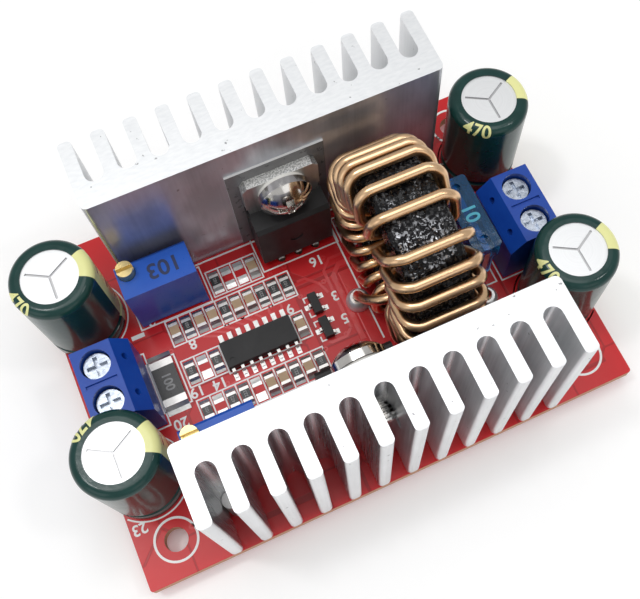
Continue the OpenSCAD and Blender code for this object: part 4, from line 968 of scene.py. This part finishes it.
eye_from, eye_to = eye_angles[:-1], eye_angles[1:]
left_x, right_x = left_corner - left_edge, right_edge - right_corner
left_low = 0.75 * eye_from + 0.25 * rim_angles
left_high = 0.25 * eye_from + 0.75 * rim_angles
right_high = 0.75 * rim_angles + 0.25 * eye_to
right_low = 0.25 * rim_angles + 0.75 * eye_to
turns = np.concatenate([
    wire_corner(left_x, eye_reach + left_corner, left_corner, 270, eye_from, left_low),
    wire_corner(left_x, rim_reach - left_corner, left_corner, 180, left_high, rim_angles),
    wire_corner(right_x, rim_reach - right_corner, right_corner, 90, rim_angles, right_high),
    wire_corner(right_x, eye_reach + right_corner, right_corner, 0, right_low, eye_to),
], axis=1).reshape(-1, 3)
stub_z = box_corners("inductor_winding")[0][2]
lead_top = board_top + 2.0
left_joint = np.array([core_middle[0] - left_edge - wire_radius - 0.75, 0.0, lead_top])
right_joint = np.array([20.7675, -7.0, lead_top])
first_eye = ring_points(right_x, eye_reach, eye_angles[0])
last_eye = ring_points(left_x, eye_reach, eye_angles[-1])
right_lead = lead_curve(right_joint, [-1.8, 0.2, 2.6], [2.4, -0.4, 0.0], first_eye)
left_lead = lead_curve(last_eye, [-4.0, 0.0, -0.3], [-0.4, -0.3, 2.6], left_joint)
right_tail = right_joint * [1, 1, 0] + [0, 0, stub_z]
left_tail = left_joint * [1, 1, 0] + [0, 0, stub_z]
wire_path = np.concatenate([[right_tail], right_lead, turns, left_lead, [left_tail]])
wire_angle = np.arctan2(wire_path[:, 1] - core_middle[1], wire_path[:, 2] - core_middle[2])
wire_side = wire_path - ring_points(0, ring_middle, wire_angle)
wire_skin = swept(wire_path[None], wire_side[None], wire_radius * circle(18))
wire = woven("coil_wire", wire_skin, wrap_columns=True)
wire.data.shade_smooth()
fit(wire, enamelled_copper)
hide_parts("inductor_winding")


# Fuse: clear blue plastic body over two zinc blades joined by a thin link.
clear_blue = mottled(
    "clear_blue", 0.8, (0.008, 0.16, 0.44, 1), (0.030, 0.31, 0.66, 1), (0.04, 0.08),
    dent=(0.3, 0.10), constants={"Transmission Weight": 0.85, "Specular IOR Level": 0.35, "IOR": 1.5})
dress(clear_blue, "fuse_body")

pale_ink = mottled("pale_ink", 3.0, (0.03, 0.30, 0.44, 1), (0.08, 0.46, 0.60, 1), (0.2, 0.2))
fuse_number = flat_number("fuse_number", "10", rating_height, top_middle("fuse_body"), -math.pi / 2)
fit(fuse_number, pale_ink)

stamped_zinc = mottled(
    "stamped_zinc", 2.0, (0.55, 0.56, 0.57, 1), (0.76, 0.76, 0.76, 1), (0.28, 0.2),
    constants={"Metallic": 1.0})
dress(stamped_zinc, "fuse_element")


# Chip resistors and capacitors: ceramic blocks, the resistors glazed black over the film.
black_glaze = mottled(
    "black_glaze", 2.5, (0.010, 0.010, 0.011, 1), (0.030, 0.030, 0.031, 1), (0.22, 0.16),
    dent=(0.3, 0.02))
dress(black_glaze, "chip_resistors", "shunt_resistor")

resistor_ink = mottled("resistor_ink", 3.0, (0.20, 0.20, 0.20, 1), (0.36, 0.36, 0.36, 1), (0.4, 0.2))
shunt_height = 1.7
code_height = 0.62
shunt_number = flat_number("shunt_number", "100", shunt_height, top_middle("shunt_resistor"), -math.pi / 2)
fit(shunt_number, resistor_ink)
# What each cell of a row holds: R a resistor, C a capacitor and - bare pads.
chip_rows = {"rear": "R--C", "top": "CRCCRCCRRR", "middle": "R-R", "low": "R-RR-CCRCR", "lone": "R"}
chip_codes = ("102", "103", "472", "223")
code_z = top_middle("chip_resistors")[2]
for row, kinds in chip_rows.items():
    for order, (kind, (x, y)) in enumerate(zip(kinds, row_cells(row))):
        if kind == "R":
            code = chip_codes[order % len(chip_codes)]
            at = (x, y, code_z)
            number = flat_number(f"{row}_chip_number_{order}", code, code_height, at, math.pi / 2)
            fit(number, resistor_ink)

fired_ceramic, shader, place = start_finish("fired_ceramic")
body = grain(place, 1.1)
set_shader(shader, {
    "Base Color": between(body, (0.36, 0.23, 0.13, 1), (0.52, 0.37, 0.23, 1)),
    "Roughness": 0.45 + 0.2 * body,
    "Normal": dented(grain(place, 6.0), 0.2, 0.02),
})
dress(fired_ceramic, "chip_capacitors")


# Studio: a pale floor under the cut leads, a white surround, one broad lamp overhead, two small keys above
# the corners and two broad weak fills from the left and the front.
floor_z = cad_box[0][2]
floor_half = 1.5
floor_mesh = bpy.data.meshes.new("floor")
floor_points = np.column_stack([corner_signs * floor_half, np.full(4, floor_z)])
floor_mesh.from_pydata(floor_points.tolist(), [], [[0, 1, 2, 3]])
floor = bpy.data.objects.new("floor", floor_mesh)
bpy.context.scene.collection.objects.link(floor)
pale_card = mottled(
    "pale_card", 0.05, (0.94, 0.94, 0.94, 1), (0.98, 0.98, 0.98, 1), (0.8, 0.1),
    constants={"Emission Color": (1, 1, 1, 1), "Emission Strength": 0.06})
floor_mesh.materials.append(pale_card)

surround = bpy.data.worlds.new("surround")
surround.use_nodes = True
set_shader(surround.node_tree.nodes["Background"], {"Color": (1, 1, 1, 1), "Strength": 0.54})
bpy.context.scene.world = surround
# Each lamp: its name, its place and the point it is aimed at in metres, its width in metres and its watts.
lamps = [
    ("overhead", (0.02, 0.06, 0.80), (0, 0, 0), 0.55, 2.0),
    ("key", (-0.22, 0.12, 0.62), (0, 0, 0.01), 0.08, 0.6),
    ("right_key", (0.30, -0.12, 0.55), (0, 0, 0.01), 0.06, 0.25),
    ("left_fill", (-0.60, -0.30, 0.35), (0, 0, 0.01), 0.40, 0.4),
    ("front_fill", (0.15, -0.70, 0.40), (0, 0, 0.01), 0.40, 0.3),
]
for name, lamp_place, aim, size, watts in lamps:
    lamp = bpy.data.lights.new(name, "AREA")
    lamp.size = size
    lamp.energy = watts
    lamp_object = bpy.data.objects.new(name, lamp)
    lamp_object.location = lamp_place
    beam = Vector(aim) - Vector(lamp_place)
    lamp_object.rotation_euler = beam.to_track_quat("-Z", "Y").to_euler()
    bpy.context.scene.collection.objects.link(lamp_object)


# Camera: above the front of the board, turned a little to the left, as the photograph was taken.
image_width = 640
image_height = 599
camera_azimuth = math.radians(-23.537)
camera_elevation = math.radians(69.179)
camera_roll = math.radians(1.171)
camera_target = np.array([4.566, -3.217, 8.0])
camera_distance = 117.099
focal_pixels = 915.706
centre_pixels = (365.084, 305.725)
backward = np.array([
    math.sin(camera_azimuth) * math.cos(camera_elevation),
    -math.cos(camera_azimuth) * math.cos(camera_elevation),
    math.sin(camera_elevation),
])
level_right = np.cross(-backward, [0, 0, 1])
level_right = level_right / np.linalg.norm(level_right)
level_up = np.cross(backward, level_right)
right = math.cos(camera_roll) * level_right - math.sin(camera_roll) * level_up
up = math.sin(camera_roll) * level_right + math.cos(camera_roll) * level_up
camera_data = bpy.data.cameras.new("camera")
camera_data.sensor_width = 36.0
camera_data.sensor_fit = "HORIZONTAL"
camera_data.lens = focal_pixels / image_width * camera_data.sensor_width
camera_data.shift_x = (image_width / 2 - centre_pixels[0]) / image_width
camera_data.shift_y = (centre_pixels[1] - image_height / 2) / image_width
camera_data.clip_start = 0.005
camera = bpy.data.objects.new("camera", camera_data)
stand = np.eye(4)
stand[:3, :3] = np.column_stack([right, up, backward])
stand[:3, 3] = (camera_target + camera_distance * backward) / 1000
camera.matrix_world = Matrix(stand.tolist())
bpy.context.scene.collection.objects.link(camera)
bpy.context.scene.camera = camera
bpy.context.scene.view_settings.view_transform = "Standard"
